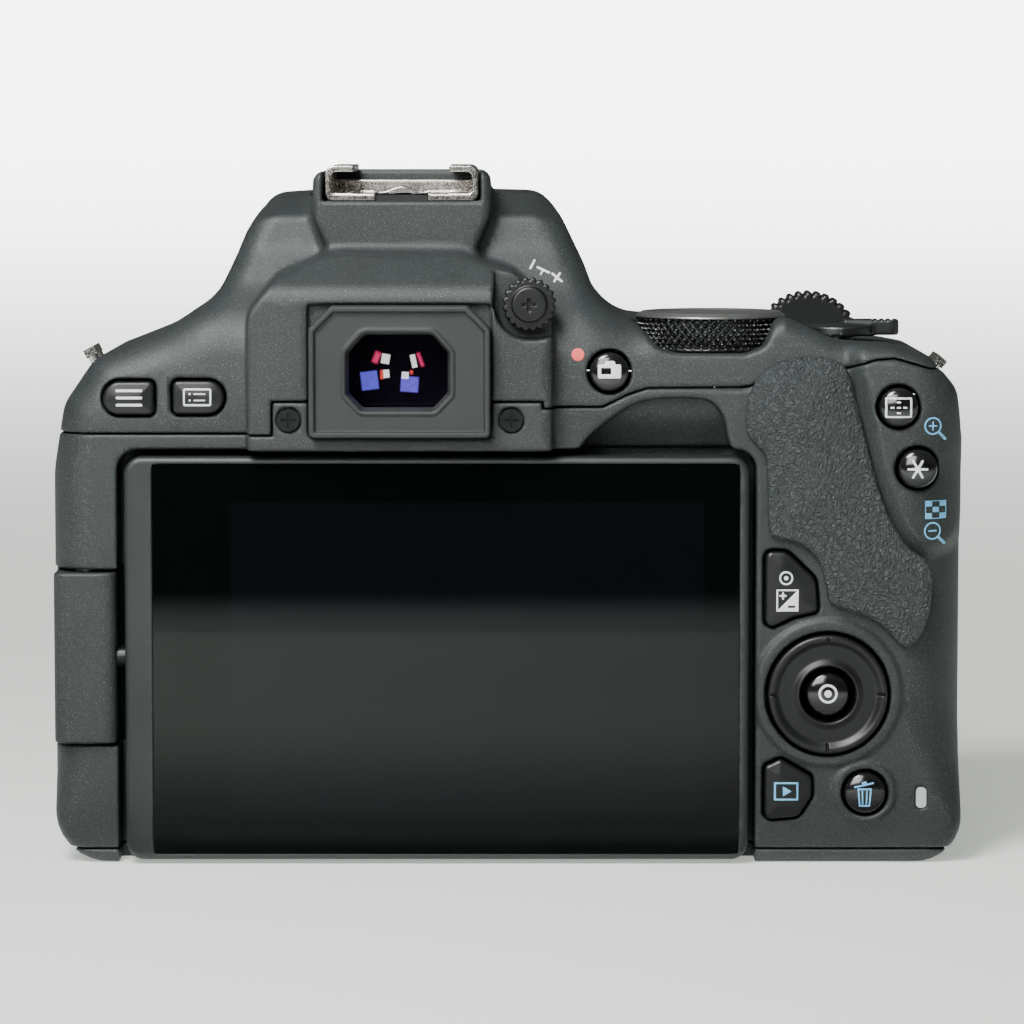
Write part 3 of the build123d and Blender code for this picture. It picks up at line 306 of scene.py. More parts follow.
HUMP_SIDE = [
    (-24, 60, 0), (-24, 72.5, 6), (-17.5, 82.5, 6), (-16.4, 87.0, 1.6), (-6, 89.6, 20), (8, 91.2, 30),
    (20, 90.6, 12), (28.6, 87.4, 5), (29.6, 80.5, 3), (25.5, 74.5, 5), (FRONT, 66, 0), (FRONT, 60, 0),
]
HOUSE = [
    (-20.4, 50, 0), (-20.4, 74.2, 4), (-16.6, 79.2, 5), (-9.0, 82.2, 9), (7.5, 82.0, 9), (15.0, 79.8, 5),
    (20.3, 74.2, 4), (20.3, 50, 0),
]
HOUSE_SIDE = [(-31, 50, 0), (-31, 77.3, 3.5), (-24.0, 81.9, 4), (-19, 83.4, 4), (-10, 84, 0), (-10, 50, 0)]
PEDESTAL = [(-10.2, 78, 0), (-10.2, 82.6, 2.5), (-12.0, 87.0, 2.5), (-12.0, 93.0, 1.7), (12.0, 93.0, 1.7),
            (12.0, 87.0, 2.5), (10.2, 82.6, 2.5), (10.2, 78, 0)]
ISLAND = [
    (60.9, 68.6), (62.6, 61.8), (63.2, 57.4), (64.2, 53.0), (65.8, 48.4), (68.2, 44.0), (71.5, 42.6),
    (75.5, 45), (78, 55), (77.5, 62.5), (73.9, 66.0), (68, 69.4), (63.0, 70.4),
]
KNOB_POCKET = [
    (12.4, 75, 0), (12.6, 81.7, 0.1), (17.2, 79.4, 0.2), (22, 77.5, 0), (30, 90, 0), (30, 72, 0),
    (18, 70.8, 0),
]
DIAL_SCOOP = [
    (31.4, 73.0, 0.5), (34.6, 69.3, 3), (37.2, 68.7, 2), (46.2, 68.7, 2), (48.7, 69.6, 2),
    (50.2, 73.4, 0.8), (50.2, 90, 0), (31.4, 90, 0),
]


def rear_face(x, z):
    """Depth of the body's back face, with its soft swellings."""
    island = outline(x, z, flowing(ISLAND))
    raised = 1.9 * ramp(-island, -1.6, 1.1)
    ring = hypot(x - 57.3, z - 23.1)
    ridge = 0.55 * ramp(10.4 - ring, 0, 0.9)
    bin_ridge = 0.4 * ramp(4.6 - hypot(x - 62.3, z - 9.6), 0, 0.7)
    lean = 1.2 * ramp(z, 60, 76) + 1.6 * ramp(x, 66, 80) * ramp(z, 64, 72)
    return REAR - maximum(maximum(raised, ridge), bin_ridge) + lean


def rear_edge(x, z):
    """Radius of the edge round the back face: tight at the base, wide at the grip's side."""
    side = 1.7 + 3.3 * ramp(z, 3, 14)
    side = side + 3.6 * ramp(x, 55, 70) * ramp(z, 6, 22) * (1 - ramp(z, 52, 64))
    return side - 2.4 * ramp(x, 30, 46) * ramp(z, 62, 68)


def body_form(g):
    """Signed distance from the whole outer form of the body."""
    silhouette = rear_view(g, FRONT_COVER)
    form = both(silhouette, (rear_face(g.x, g.z) - g.y) * 0.97, rear_edge(g.x, g.z))
    ahead = plan_view(g, PLAN)
    upright_edge = 2.8 + 4.0 * ramp(g.x, 50, 70) + 2.5 * ramp(-g.x, 20, 40)
    form = both(form, ahead, 1.2 + upright_edge * ramp(g.z, 1, 12))
    fall = (g.y - 8.0) * GRIP_SLOPE * ramp(g.y, 4, 12)
    slope = (g.z - 70.3 + fall) * SLOPE_COS - (1 - ramp(g.x, 44, 50)) * 12
    form = both(form, slope - 3.6 * (1 - ramp(g.y, -22, -14)), 1.6)
    boss = disc(g, 0, MOUNT_Z, BOSS_RADIUS, 0, 34, 1.2)
    form = either(form, boss, 3.0)
    hump = both(rear_view(g, HUMP), side_view(g, HUMP_SIDE), 3.2)
    form = either(form, hump, 5.0)
    house = both(rear_view(g, HOUSE), side_view(g, HOUSE_SIDE), 0.9)
    form = either(form, house, 0.7)
    pedestal = both(rear_view(g, PEDESTAL), slab(g.y, -20.2, 3.4), 1.0)
    form = either(form, pedestal, 1.6)
    form = cut(form, box(g, *SHOE_ROOM), 0.25)
    pocket = either(hypot(g.x - KNOB_X, g.z - KNOB_Z) - 4.7, rear_view(g, KNOB_POCKET), 0.4)
    form = cut(form, both(pocket, g.y - REAR, 0.3), 0.35)
    well = post(g, MODE_X, MODE_Y, 11.0, 68.4, 99)
    scoop = both(rear_view(g, DIAL_SCOOP), g.y - MODE_Y)
    return cut(form, minimum(well, scoop), 0.7)


# ---- Materials ----
class Nodes:
    """A material's node tree, with short ways to add nodes. Textures are laid out in millimetres."""

    def __init__(self, name):
        self.material = bpy.data.materials.new(name)
        self.material.use_nodes = True
        self.tree = self.material.node_tree
        self.tree.nodes.clear()
        self.shader = self.add("ShaderNodeBsdfPrincipled")
        output = self.add("ShaderNodeOutputMaterial")
        self.join(self.shader.outputs["BSDF"], output.inputs["Surface"])
        place = self.add("ShaderNodeTexCoord")
        scale = self.add("ShaderNodeVectorMath", operation="SCALE")
        scale.inputs["Scale"].default_value = 1 / MM
        self.join(place.outputs["Object"], scale.inputs[0])
        self.place = scale.outputs[0]

    def add(self, kind, **settings):
        node = self.tree.nodes.new(kind)
        for key, value in settings.items():
            setattr(node, key, value)
        return node

    def join(self, source, target):
        self.tree.links.new(source, target)

    def fixed(self, **values):
        """Sets numbers and colours that are the same all over."""
        for key, value in values.items():
            socket = self.shader.inputs[key.replace("_", " ")]
            socket.default_value = (*value, 1) if isinstance(value, tuple) else value

    def axes(self):
        """The place on the piece as three numbers."""
        split = self.add("ShaderNodeSeparateXYZ")
        self.join(self.place, split.inputs[0])
        return split.outputs

    def noise(self, size, detail=2.0, roughness=0.5, source=None, kind="ShaderNodeTexNoise", output="Fac"):
        """A noise whose features are about size millimetres wide."""
        node = self.add(kind)
        node.inputs["Scale"].default_value = 1 / size
        if "Detail" in node.inputs:
            node.inputs["Detail"].default_value = detail
            node.inputs["Roughness"].default_value = roughness
        self.join(source or self.place, node.inputs["Vector"])
        return node.outputs[output]

    def spread(self, value, low, high, to_low=0.0, to_high=1.0, smooth=False):
        """Maps a range of a value onto another range."""
        node = self.add("ShaderNodeMapRange", interpolation_type="SMOOTHSTEP" if smooth else "LINEAR")
        for key, number in (("From Min", low), ("From Max", high), ("To Min", to_low), ("To Max", to_high)):
            node.inputs[key].default_value = number
        self.join(value, node.inputs["Value"])
        return node.outputs["Result"]

    def math(self, operation, a, b=0.0):
        """Arithmetic on sockets or numbers."""
        node = self.add("ShaderNodeMath", operation=operation)
        for socket, value in zip(node.inputs, (a, b)):
            if isinstance(value, (int, float)):
                socket.default_value = value
            else:
                self.join(value, socket)
        return node.outputs[0]

    def mix(self, amount, low, high):
        """A colour between two colours or colour sockets."""
        node = self.add("ShaderNodeMix", data_type="RGBA")
        self.join(amount, node.inputs["Factor"])
        for key, value in (("A", low), ("B", high)):
            socket = [s for s in node.inputs if s.name == key and s.type == "RGBA"][0]
            if isinstance(value, tuple):
                socket.default_value = (*value, 1)
            else:
                self.join(value, socket)
        return [s for s in node.outputs if s.type == "RGBA"][0]

    def bump(self, height, strength, depth, under=None):
        """A bump of depth millimetres, laid over another bump if there is one."""
        node = self.add("ShaderNodeBump")
        node.inputs["Strength"].default_value = strength
        node.inputs["Distance"].default_value = depth * MM
        self.join(height, node.inputs["Height"])
        if under is not None:
            self.join(under, node.inputs["Normal"])
        return node.outputs["Normal"]

    def worn(self, base, edge_colour, amount=0.5):
        """Lightens a colour a little on convex edges, patchily."""
        geometry = self.add("ShaderNodeNewGeometry")
        edge = self.spread(geometry.outputs["Pointiness"], 0.52, 0.60)
        patch = self.spread(self.noise(1.4, 3), 0.42, 0.62)
        return self.mix(self.math("MULTIPLY", self.math("MULTIPLY", edge, patch), amount), base, edge_colour)

    def colour(self, socket):
        self.join(socket, self.shader.inputs["Base Color"])

    def rough(self, socket):
        self.join(socket, self.shader.inputs["Roughness"])

    def normal(self, socket):
        self.join(socket, self.shader.inputs["Normal"])


def moulded(name, dark, light, rough, grain=0.16, relief=0.03, painted_glints=0.0, coat=0.0):
    """Moulded plastic or rubber with a fine sandy grain, and tiny painted glints where asked: bright specks
    painted into the colour as highlights on the grain.
    """
    n = Nodes(name)
    fine = n.noise(grain, 2.5, 0.6)
    cells = n.noise(grain * 1.6, kind="ShaderNodeTexVoronoi", output="Distance")
    broad = n.noise(9.0, 3, 0.55)
    shade = n.mix(n.spread(broad, 0.3, 0.7), dark, light)
    if painted_glints:
        # Painted highlights: tiny bright specks, the glints of light on the grain, painted into the colour.
        glint = n.spread(n.noise(grain * 0.8, 1.0, 0.5), 0.60, 0.74)
        shade = n.mix(n.math("MULTIPLY", glint, painted_glints), shade, tuple(min(1.0, v * 7 + 0.03) for v in light))
    n.colour(n.worn(shade, tuple(min(1.0, v * 2.4) for v in light), 0.5))
    mixed = n.math("ADD", fine, n.math("MULTIPLY", broad, 0.5))
    n.rough(n.spread(mixed, 0.45, 1.05, rough - 0.06, rough + 0.07))
    n.normal(n.bump(cells, 0.5, relief, n.bump(fine, 0.7, relief)))
    n.fixed(Specular_IOR_Level=0.5, Coat_Weight=coat, Coat_Roughness=0.12)
    return n.material


def leather(name):
    """Rubber with a wrinkled leather grain."""
    n = Nodes(name)
    warp = n.add("ShaderNodeVectorMath", operation="ADD")
    n.join(n.noise(1.1, 2, 0.6, output="Color"), warp.inputs[1])
    n.join(n.place, warp.inputs[0])
    pebbles = []
    for size, rim in ((0.80, 0.30), (0.42, 0.28)):
        edges = n.add("ShaderNodeTexVoronoi", feature="DISTANCE_TO_EDGE")
        edges.inputs["Scale"].default_value = 1 / size
        n.join(warp.outputs[0], edges.inputs["Vector"])
        pebbles.append(n.spread(edges.outputs["Distance"], 0.0, rim, smooth=True))
    crumple = n.noise(0.42, 3, 0.62, warp.outputs[0])
    height = n.math("ADD", n.math("MULTIPLY", pebbles[0], 0.34), n.math("MULTIPLY", pebbles[1], 0.26))
    height = n.math("ADD", height, n.math("MULTIPLY", crumple, 1.1))
    fine = n.noise(0.09, 2, 0.6)
    # The raised grain is painted lighter: a painted highlight on the tops of the wrinkles, beside their real
    # gloss from the roughness below.
    n.colour(n.mix(n.spread(height, 0.55, 1.15), (0.0245, 0.0292, 0.0300), (0.0430, 0.0510, 0.0525)))
    n.rough(n.spread(height, 0.5, 1.2, 0.58, 0.34))
    n.normal(n.bump(height, 1.0, 0.30, n.bump(fine, 0.5, 0.02)))
    n.fixed(Specular_IOR_Level=0.5)
    return n.material


def metal(name, base, rough, grain=0.5, brushed=(1, 1, 1), metallic=1.0, bright_edge=None, relief=0.01):
    """Metal with fine scratches along one direction."""
    n = Nodes(name)
    stretch = n.add("ShaderNodeVectorMath", operation="MULTIPLY")
    stretch.inputs[1].default_value = brushed
    n.join(n.place, stretch.inputs[0])
    lines = n.noise(grain, 3, 0.6, stretch.outputs[0])
    cloud = n.noise(3.0, 2, 0.5)
    shade = n.mix(n.spread(cloud, 0.3, 0.7), tuple(v * 0.86 for v in base), base)
    if bright_edge:
        shade = n.worn(shade, bright_edge, 0.9)
    n.colour(shade)
    n.rough(n.spread(lines, 0.3, 0.7, rough - 0.06, rough + 0.08))
    n.normal(n.bump(lines, 0.35, relief))
    n.fixed(Metallic=metallic)
    return n.material


def glassy(name, base, rough=0.03, ior=1.5, alpha=1.0, smudge=0.05):
    """A polished clear or dark cover with faint smudges."""
    n = Nodes(name)
    film = n.noise(6.0, 4, 0.6)
    n.rough(n.spread(film, 0.45, 0.8, rough, rough + smudge))
    n.colour(n.mix(n.spread(film, 0.4, 0.9), base, tuple(v * 1.25 for v in base)))
    n.fixed(IOR=ior, Alpha=alpha)
    return n.material


PLASTIC = moulded("camera_shell_plastic", (0.0170, 0.0205, 0.0205), (0.0225, 0.0270, 0.0270), 0.52,
                  painted_glints=0.55)
SATIN_KEY = moulded("satin_key_plastic", (0.0060, 0.0068, 0.0068), (0.0085, 0.0096, 0.0096), 0.36,
                    grain=0.1, relief=0.008)
LEATHER = leather("leather_grain_rubber")
DARK_METAL = metal("dark_metal", (0.085, 0.09, 0.09), 0.36, 0.2, bright_edge=(0.45, 0.45, 0.44), metallic=0.9)
BLACK_SCREW = metal("blackened_screw", (0.030, 0.032, 0.032), 0.34, 0.2, metallic=0.8)
WHITE_PRINT = moulded("white_print", (0.74, 0.77, 0.76), (0.80, 0.83, 0.82), 0.55, relief=0.003)
BLUE_PRINT = moulded("blue_print", (0.13, 0.42, 0.74), (0.16, 0.47, 0.79), 0.55, relief=0.003)
RED_PRINT = moulded("red_print", (0.76, 0.085, 0.075), (0.84, 0.11, 0.10), 0.5, relief=0.003)
FINISH = {
    "body_plastic": PLASTIC,
    "key_plastic": SATIN_KEY,
    "grip_rubber": LEATHER,
    "dial_metal": DARK_METAL,
    "dark_metal": DARK_METAL,
    "key_gloss": moulded("gloss_key_plastic", (0.006, 0.0065, 0.0065), (0.009, 0.0095, 0.0095), 0.17,
                         grain=0.3, relief=0.002, coat=0.6),
    "screen_plastic": moulded("smooth_plastic", (0.0160, 0.0190, 0.0188), (0.0200, 0.0240, 0.0236), 0.44,
                              grain=0.12, relief=0.012),
    "rubber": moulded("soft_rubber", (0.0185, 0.0215, 0.0210), (0.0235, 0.0270, 0.0265), 0.60, grain=0.2,
                      relief=0.02),
    "inner_plastic": moulded("inner_black_plastic", (0.007, 0.007, 0.007), (0.011, 0.011, 0.011), 0.55),
    "optics": glassy("dark_optic", (0.012, 0.010, 0.016), 0.02, 1.7),
    "flash_lens": glassy("flash_diffuser", (0.62, 0.63, 0.62), 0.16),
    "nickel": metal("bright_nickel", (0.66, 0.63, 0.58), 0.24, 0.35, (1, 8, 1)),
    "steel": metal("steel", (0.42, 0.42, 0.41), 0.34, 0.3, (6, 1, 1)),
    "gold": metal("gold_plating", (0.85, 0.62, 0.28), 0.22),
    "mirror": metal("mirror_silver", (0.9, 0.91, 0.92), 0.05, 4.0, relief=0.001),
    "curtain": moulded("curtain_coating", (0.02, 0.02, 0.02), (0.032, 0.032, 0.032), 0.45),
    "sensor": glassy("sensor_filter", (0.03, 0.06, 0.07), 0.04),
    "board": moulded("circuit_board", (0.006, 0.05, 0.02), (0.010, 0.075, 0.03), 0.4, grain=0.5),
    "battery": moulded("battery_case", (0.05, 0.05, 0.055), (0.07, 0.07, 0.075), 0.45),
    "lamp": glassy("clear_lamp_plastic", (0.42, 0.44, 0.45), 0.12),
}


# ---- Covers ----
PITCH = 0.3 * COARSE
SEAM = [
    (LEFT - 4, -9), (RIGHT + 4, -9), (RIGHT + 4, 66.2), (70.8, 66.7), (66, 68.1), (63.4, 67.9),
    (60.0, 66.8), (54, 66.2), (46, 64.2), (33.1, 64.1), (30.3, 63.2), (27, 61.6), (19, 61.6), (19, 62.5),
    (-17, 62.5), (-17, 58.0), (LEFT - 4, 58.0),
]
JOINT = 0.1  # half of the gap between two covers
LENS_ROOM = (-7.6, -40, 60.8), (7.2, -20, 72.4), 0.5
EYE_FRAME_ROOM = (-12.25, -32, 57.65), (12.25, -30.1, 75.5), 0.6
EYE_SCREW_X, EYE_SCREW_Z = 14.8, 60.1
BOSS_ROOM = 0, MOUNT_Z, BOSS_RADIUS, 15, 34.2
BASE_SCREWS = (-38, -17), (-38, 12), (13, 10), (55, 30.6)
SCREW_ROOM = 1.65  # radius of the hole round a screw's head
RELEASE_KEY_HOLE = -39.6, 27.0, 4.95, 8, 30
FLASH_KEY_HOLE = -38.5, 59.2, 2.65, 8, 30
LOCK_PIN_HOLE = -29.8, 33.5, 1.85, 25, 50
LEFT_FLAP_ROOM = (LEFT - 9, -6.3, 20.0), (LEFT + 1.9, 10.7, 56.0), 0.5
RIGHT_FLAP_ROOM = (RIGHT - 1.9, -8.1, 15.6), (RIGHT + 9, 10.7, 28.0), 0.5
DOOR_ROOM = (48.2, -8.6, -9), (72.3, 27.6, 9), 0.5
SCREEN_ROOM = (-38.0, -60, -9), (47.6, -21.4, 9)
TRIPOD_RADIUS = 5.2
TOP_KEYS, TOP_KEY_Y, TOP_KEY_RADIUS = (51.3, 60.5), 2.0, 2.65
FLASH_GAP = 0.3

everywhere = Grid((-50, -35, -2), (79, 37, 95), PITCH)
whole_body = body_form(everywhere)


def body_near(low, high):
    """The grid between two corners and the body's outer form on it."""
    window, part = everywhere.window(low, high)
    return window, whole_body[part]


def under_top(g):
    """The space below the top cover's front edge, which steps down over the grip."""
    return minimum(maximum(g.z - 64.0, g.x - 44.0), g.z - 60.0)


def round_shutter(g):
    """Distance from the shutter button's slanting axis, and height over the slope that it stands on."""
    over = g.z - SHUTTER_Z
    along = (g.y - 25.5) * SLOPE_COS - (over + 17.5 * GRIP_SLOPE) * SLOPE_SIN
    return hypot(g.x - SHUTTER_X, along), (over + (g.y - 8.0) * GRIP_SLOPE) * SLOPE_COS


def grip_skin(g, form):
    """The rubber skin round the grip, one millimetre thick."""
    return both(both(form, -(form + 1.0)), box(g, (44.6, 15.6, 5.2), (90, 60, 59.8), 2.0), 0.3)


def recess(g):
    """The hollow in the back that the folded screen lies in, with the room round its hinge block."""
    face = rear_view(g, [(-38.0, -9, 0), (47.6, -9, 0), (47.6, 55.9, 2.8), (-38.0, 55.9, 2.8)])
    hollow = both(face, slab(g.y, -60, -21.4), 0.2)
    hinge = minimum(post(g, UPRIGHT_X, UPRIGHT_Y, 5.9, 16.0, 39.7),
                    box(g, (-60, -60, 16.0), (-36, -24.0, 39.7)))
    return minimum(hollow, hinge)


NOTCH = [
    (23.8, 54.0), (24.6, 56.8), (27.6, 59.6), (31.0, 61.8), (34.2, 62.6), (40.4, 62.6), (42.4, 61.4),
    (43.3, 59.8), (43.7, 57.6), (44.4, 54.0), (40, 52), (28, 52),
]
MENU = [(-39.7, 60.6, 2.15), (-33.0, 60.6, 0.7), (-33.0, 65.0, 0.7), (-39.7, 65.0, 2.15)]
INFO = [(-30.4, 60.7, 0.7), (-23.6, 60.7, 2.15), (-23.6, 65.1, 2.15), (-30.4, 65.1, 0.7)]
EXPOSURE = [
    (48.9, 42.2, 0.9), (51.7, 42.2, 2.0), (55.6, 38.4, 2.0), (55.9, 34.2, 0.6), (52.6, 33.4, 1.5),
    (48.9, 31.6, 0.9),
]
PLAYBACK = [
    (48.9, 13.2, 0.6), (51.0, 14.2, 0.6), (55.2, 11.8, 0.8), (55.2, 9.2, 1.4), (53.4, 6.4, 1.4),
    (48.9, 6.0, 0.9),
]
ROUND_KEYS = {
    "live_view_button": (27.9, 66.3, 2.6), "af_point_button": (66.4, 61.7, 2.6),
    "ae_lock_button": (69.0, 53.5, 2.6), "erase_button": (62.4, 9.6, 2.8),
}
SHAPED_KEYS = {
    "menu_button": MENU, "info_button": INFO, "exposure_button": EXPOSURE, "playback_button": PLAYBACK,
}
LAMP_WINDOW = rectangle(69.25, 7.4, 70.75, 10.4, 0.7)
KEY_FLOOR, CAP_REAR = -23.6, -27.75  # depths of the keys' rooms and of the shaped keys' faces
PAD = [
    (46.2, 58.4), (46.4, 62.6), (48.4, 66.4), (51.4, 67.9), (55.6, 68.3), (58.6, 67.6), (60.0, 65.8),
    (60.8, 62.6), (62.1, 57.8), (63.5, 52.4), (65.4, 47.0), (67.9, 42.9), (70.6, 40.8), (71.2, 37.6),
    (70.5, 32.8), (69.0, 30.0), (67.2, 29.4), (65.3, 31.4), (62.8, 33.3), (59.8, 34.3), (57.5, 35.3),
    (56.9, 37.8), (55.8, 41.0), (53.4, 43.2), (50.2, 44.0), (49.2, 45.6), (48.9, 54.2), (47.6, 56.4),
]


def key_room(g):
    """The holes for the keys on the back."""
    face = np.full((len(g.x[:, 0, 0]), 1, len(g.z[0, 0])), FAR, np.float32)
    for points in SHAPED_KEYS.values():
        face = minimum(face, rear_view(g, points) - 0.34)
    for x, z, radius in ROUND_KEYS.values():
        face = minimum(face, hypot(g.x - x, g.z - z) - radius - 0.4)
    face = minimum(face, hypot(g.x - RING_X, g.z - RING_Z) - 8.45)
    face = minimum(face, rear_view(g, LAMP_WINDOW))
    return both(face, slab(g.y, -60, KEY_FLOOR))


def rear_details(g, form):
    """Takes the recess, the notch and the key holes out of the body's back, leaving walls behind them."""
    shell = maximum(form, -(form + WALL))
    hollow = recess(g)
    notch = both(outline(g.x, g.z, flowing(NOTCH)), slab(g.y, -60, -22.4 - 2.6 * ramp(g.z, 55.5, 61.5)), 0.3)
    shell = minimum(shell, maximum(form, minimum(hollow, notch) - WALL))
    shell = cut(shell, hollow, 0.45)
    shell = cut(shell, notch, 0.6)
    return cut(shell, key_room(g), 0.28)


w, form = body_near((-50, -35, -2), (79, SPLIT + 1, 69))
below = outline(w.x, w.z, SEAM)
rear = rear_details(w, form)
rear = cut(rear, box(w, *LENS_ROOM), 0.2)
rear = cut(rear, box(w, *EYE_FRAME_ROOM), 0.2)
for x in (-EYE_SCREW_X, EYE_SCREW_X):
    rear = cut(rear, disc(w, x, EYE_SCREW_Z, SCREW_ROOM, -40, -30.5), 0.2)
rear = both(rear, below + JOINT, 0.3)
rear = both(rear, w.y - SPLIT + JOINT, 0.3)
rear = both(rear, BASE_TOP + JOINT - w.z, 0.2)
solid("rear_shell", w, rear, "body", "body_plastic", ("rear_cover",), 0.02)

w, form = body_near((-50, -35, 57), (79, 37, 95))
top = rear_details(w, form)
behind = both(outline(w.x, w.z, SEAM), w.y - SPLIT)
ahead = minimum(both(SPLIT - w.y, under_top(w)), disc(w, *BOSS_ROOM))
top = cut(top, behind - JOINT, 0.3)
top = cut(top, ahead - JOINT, 0.3)
behind_flash = FLASH_REAR - FLASH_GAP
under_flash = FLASH_FLOOR - FLASH_GAP
flash_room = maximum(behind_flash - w.y, under_flash - w.z)
flash_room = maximum(flash_room, -box(w, (-12.6, -30, 60), (12.6, 3.75, 99), 0.3))
top = cut(top, flash_room, 0.3)
tray = maximum(maximum(form, behind_flash - WALL - w.y), slab(w.z, under_flash - 1.7, under_flash))
pillar = maximum(form, box(w, (-12.6, -6.0, 77), (12.6, 3.75, SHOE_FLOOR)))
top = minimum(minimum(top, tray), cut(pillar, box(w, *SHOE_ROOM), 0.2))
top = cut(top, box(w, *EYE_FRAME_ROOM), 0.2)
top = cut(top, box(w, *LENS_ROOM), 0.2)
wheel_slot = both(slab(w.x - WHEEL_X, -8.1, 8.1), both(slab(w.y, 11.2, 16.8), 60 - w.z))
top = cut(top, wheel_slot, 0.8)
for x in TOP_KEYS:
    top = cut(top, post(w, x, TOP_KEY_Y, TOP_KEY_RADIUS, 66, 80), 0.3)
away, rise = round_shutter(w)
top = cut(top, both(away - 5.0, slab(rise, -9, 9)), 0.6)
top = both(top, 57.9 - w.z)
solid("top_shell", w, top, "body", "body_plastic", ("top_cover",), 0.02)

w, form = body_near((-50, -8, 76), (50, 37, 95))
head = maximum(form, minimum(-(form + WALL), box(w, (-40, -10, 70), (40, 6.4, 99))))
head = both(head, FLASH_REAR - w.y, 0.35)
head = both(head, FLASH_FLOOR - w.z, 0.35)
# The rear edge is bevelled, so that the open head clears the shell and the shoe behind it.
swung = np.radians(FLASH_OPEN)
rear_when_open = (w.y - FLASH_HINGE_Y) * np.cos(swung) - (w.z - FLASH_HINGE_Z) * np.sin(swung)
head = both(head, -rear_when_open - 1.35, 0.3)
head = cut(head, box(w, (-13.0, -12, 70), (13.0, 4.45, 99), 0.3), 0.4)
head = cut(head, box(w, (-12.0, 24.0, 79.9), (12.0, 40, 86.1), 0.4), 0.3)
solid("flash_shell", w, head, "flash", "body_plastic", ("flash_head",), 0.02)

w, form = body_near((-50, SPLIT - 1, -2), (79, 37, 69))
front = maximum(form, -(form + WALL))
front = cut(front, grip_skin(w, form) - JOINT, 0.2)
region = minimum(under_top(w), disc(w, *BOSS_ROOM))
front = both(front, region + JOINT, 0.3)
front = both(front, SPLIT + JOINT - w.y, 0.3)
front = both(front, BASE_TOP + JOINT - w.z, 0.2)
front = cut(front, disc(w, 0, MOUNT_Z, 33.2, 10, 32), 0)
front = cut(front, disc(w, 0, MOUNT_Z, 29.1, 9, 60), 0.2)
from_axis = hypot(w.x, w.z - MOUNT_Z)
front = minimum(front, both(both(from_axis - 34.0, slab(w.y, 32.2, 33.9)), 29.1 - from_axis))
front = cut(front, box(w, *LEFT_FLAP_ROOM), 0.3)
front = cut(front, box(w, *RIGHT_FLAP_ROOM), 0.3)
floors = minimum(box(w, (LEFT + 1.9, -8, 18), (LEFT + 3.4, 12, 58)),
                 box(w, (RIGHT - 3.4, -10, 13), (RIGHT - 1.9, 12, 30)))
for z in (51.0, 43.0):
    floors = cut(floors, maximum(hypot(w.y - 2.0, w.z - z) - 1.8, w.x), 0.15)
for low_z, high_z in ((33.0, 36.5), (24.0, 28.0)):
    floors = cut(floors, box(w, (LEFT, -1.5, low_z), (LEFT + 9, 6.5, high_z), 0.4), 0.15)
floors = cut(floors, maximum(hypot(w.y - 2.0, w.z - 21.8) - 1.7, -w.x), 0.15)
front = minimum(front, floors)
for hole, edge in ((RELEASE_KEY_HOLE, 0.4), (FLASH_KEY_HOLE, 0.3), (LOCK_PIN_HOLE, 0.1)):
    front = cut(front, disc(w, *hole), edge)
solid("front_shell", w, front, "body", "body_plastic", ("front_cover",), 0.02)

w, form = body_near((44, 14, 3), (79, 37, 62))
solid("grip_skin", w, grip_skin(w, form), "body", "grip_rubber", ("grip_rubber",), 0.01)

w, form = body_near((-50, -35, -2), (79, 37, 3))
base = both(form, w.z - BASE_TOP + JOINT, 0.15)
base = cut(base, box(w, *SCREEN_ROOM), 0.3)
base = cut(base, post(w, 0, 0, TRIPOD_RADIUS, -9, 9), 0.2)
base = cut(base, box(w, *DOOR_ROOM), 0.25)
for x, y in BASE_SCREWS:
    base = cut(base, post(w, x, y, SCREW_ROOM, -9, 1.2), 0.2)
solid("base_shell", w, base, "body", "body_plastic", ("bottom_cover",), 0.02)


# ---- Thumb pad and eyepiece ----
def thumb_pad(g):
    """The pad under the thumb: crowned, and rolled in round its edge."""
    flat = outline(g.x, g.z, flowing(PAD))
    crown = -28.35 - 0.9 * ramp(-flat, 0.5, 9.0) - 0.7 * ramp(g.z, 50, 66) * ramp(-flat, 0, 3)
    return both(flat, maximum(crown - g.y, g.y + 26.2), 0.75)


carve("thumb_pad", (44.5, -31.4, 28), (73, -25, 70), 0.25, thumb_pad, "body", "grip_rubber",
      ("thumb_rest",), 0.01)

EYE_FRAME = [
    (-12.0, 57.9, 0.7), (12.0, 57.9, 0.7), (12.0, 72.3, 0.5), (9.0, 75.3, 0.5), (-9.0, 75.3, 0.5),
    (-12.0, 72.3, 0.5),
]
EYE_HOLE = [
    (-7.1, 63.6, 0.4), (-5.0, 61.4, 0.8), (4.6, 61.4, 0.8), (6.7, 63.6, 0.4), (6.7, 69.2, 0.8),
    (4.4, 71.8, 1.4), (-4.8, 71.8, 1.4), (-7.1, 69.2, 0.8),
]


def eye_frame(g):
    """The plate round the eyepiece: a raised rim, a sunk face and a flared opening."""
    flat = rear_view(g, EYE_FRAME)
    plate = both(flat, slab(g.y, -33.1, -30.1), 0.35)
    rim = both(both(flat, -(flat + 0.75)), slab(g.y, -33.75, -30.1), 0.22)
    opening = rear_view(g, EYE_HOLE)
    collar = both(opening - 0.6, slab(g.y, -33.3, -30.2), 0.25)
    plate = either(either(plate, rim, 0.25), collar, 0.2)
    return cut(plate, both(opening + np.clip((g.y + 33.4) * 0.12, 0, 0.6), slab(g.y, -60, 0)), 0.35)


carve("eyepiece_plate", (-13, -34.2, 57), (13, -29.6, 76.2), 0.14, eye_frame, "body", "rubber",
      ("eyepiece_frame",), 0.005)


def eye_tunnel(g):
    """The black funnel between the plate and the lens."""
    opening = rear_view(g, EYE_HOLE)
    wall = both(opening - 0.9, -(opening - 0.25 + (g.y + 31) * 0.05))
    return both(wall, slab(g.y, -30.6, -26.4), 0.15)


carve("eyepiece_funnel", (-9, -31, 59.8), (9, -26, 73.4), 0.18, eye_tunnel, "body", "inner_plastic")


# ---- Screen ----
CASE_REAR, CASE_FRONT = -28.2, -21.8


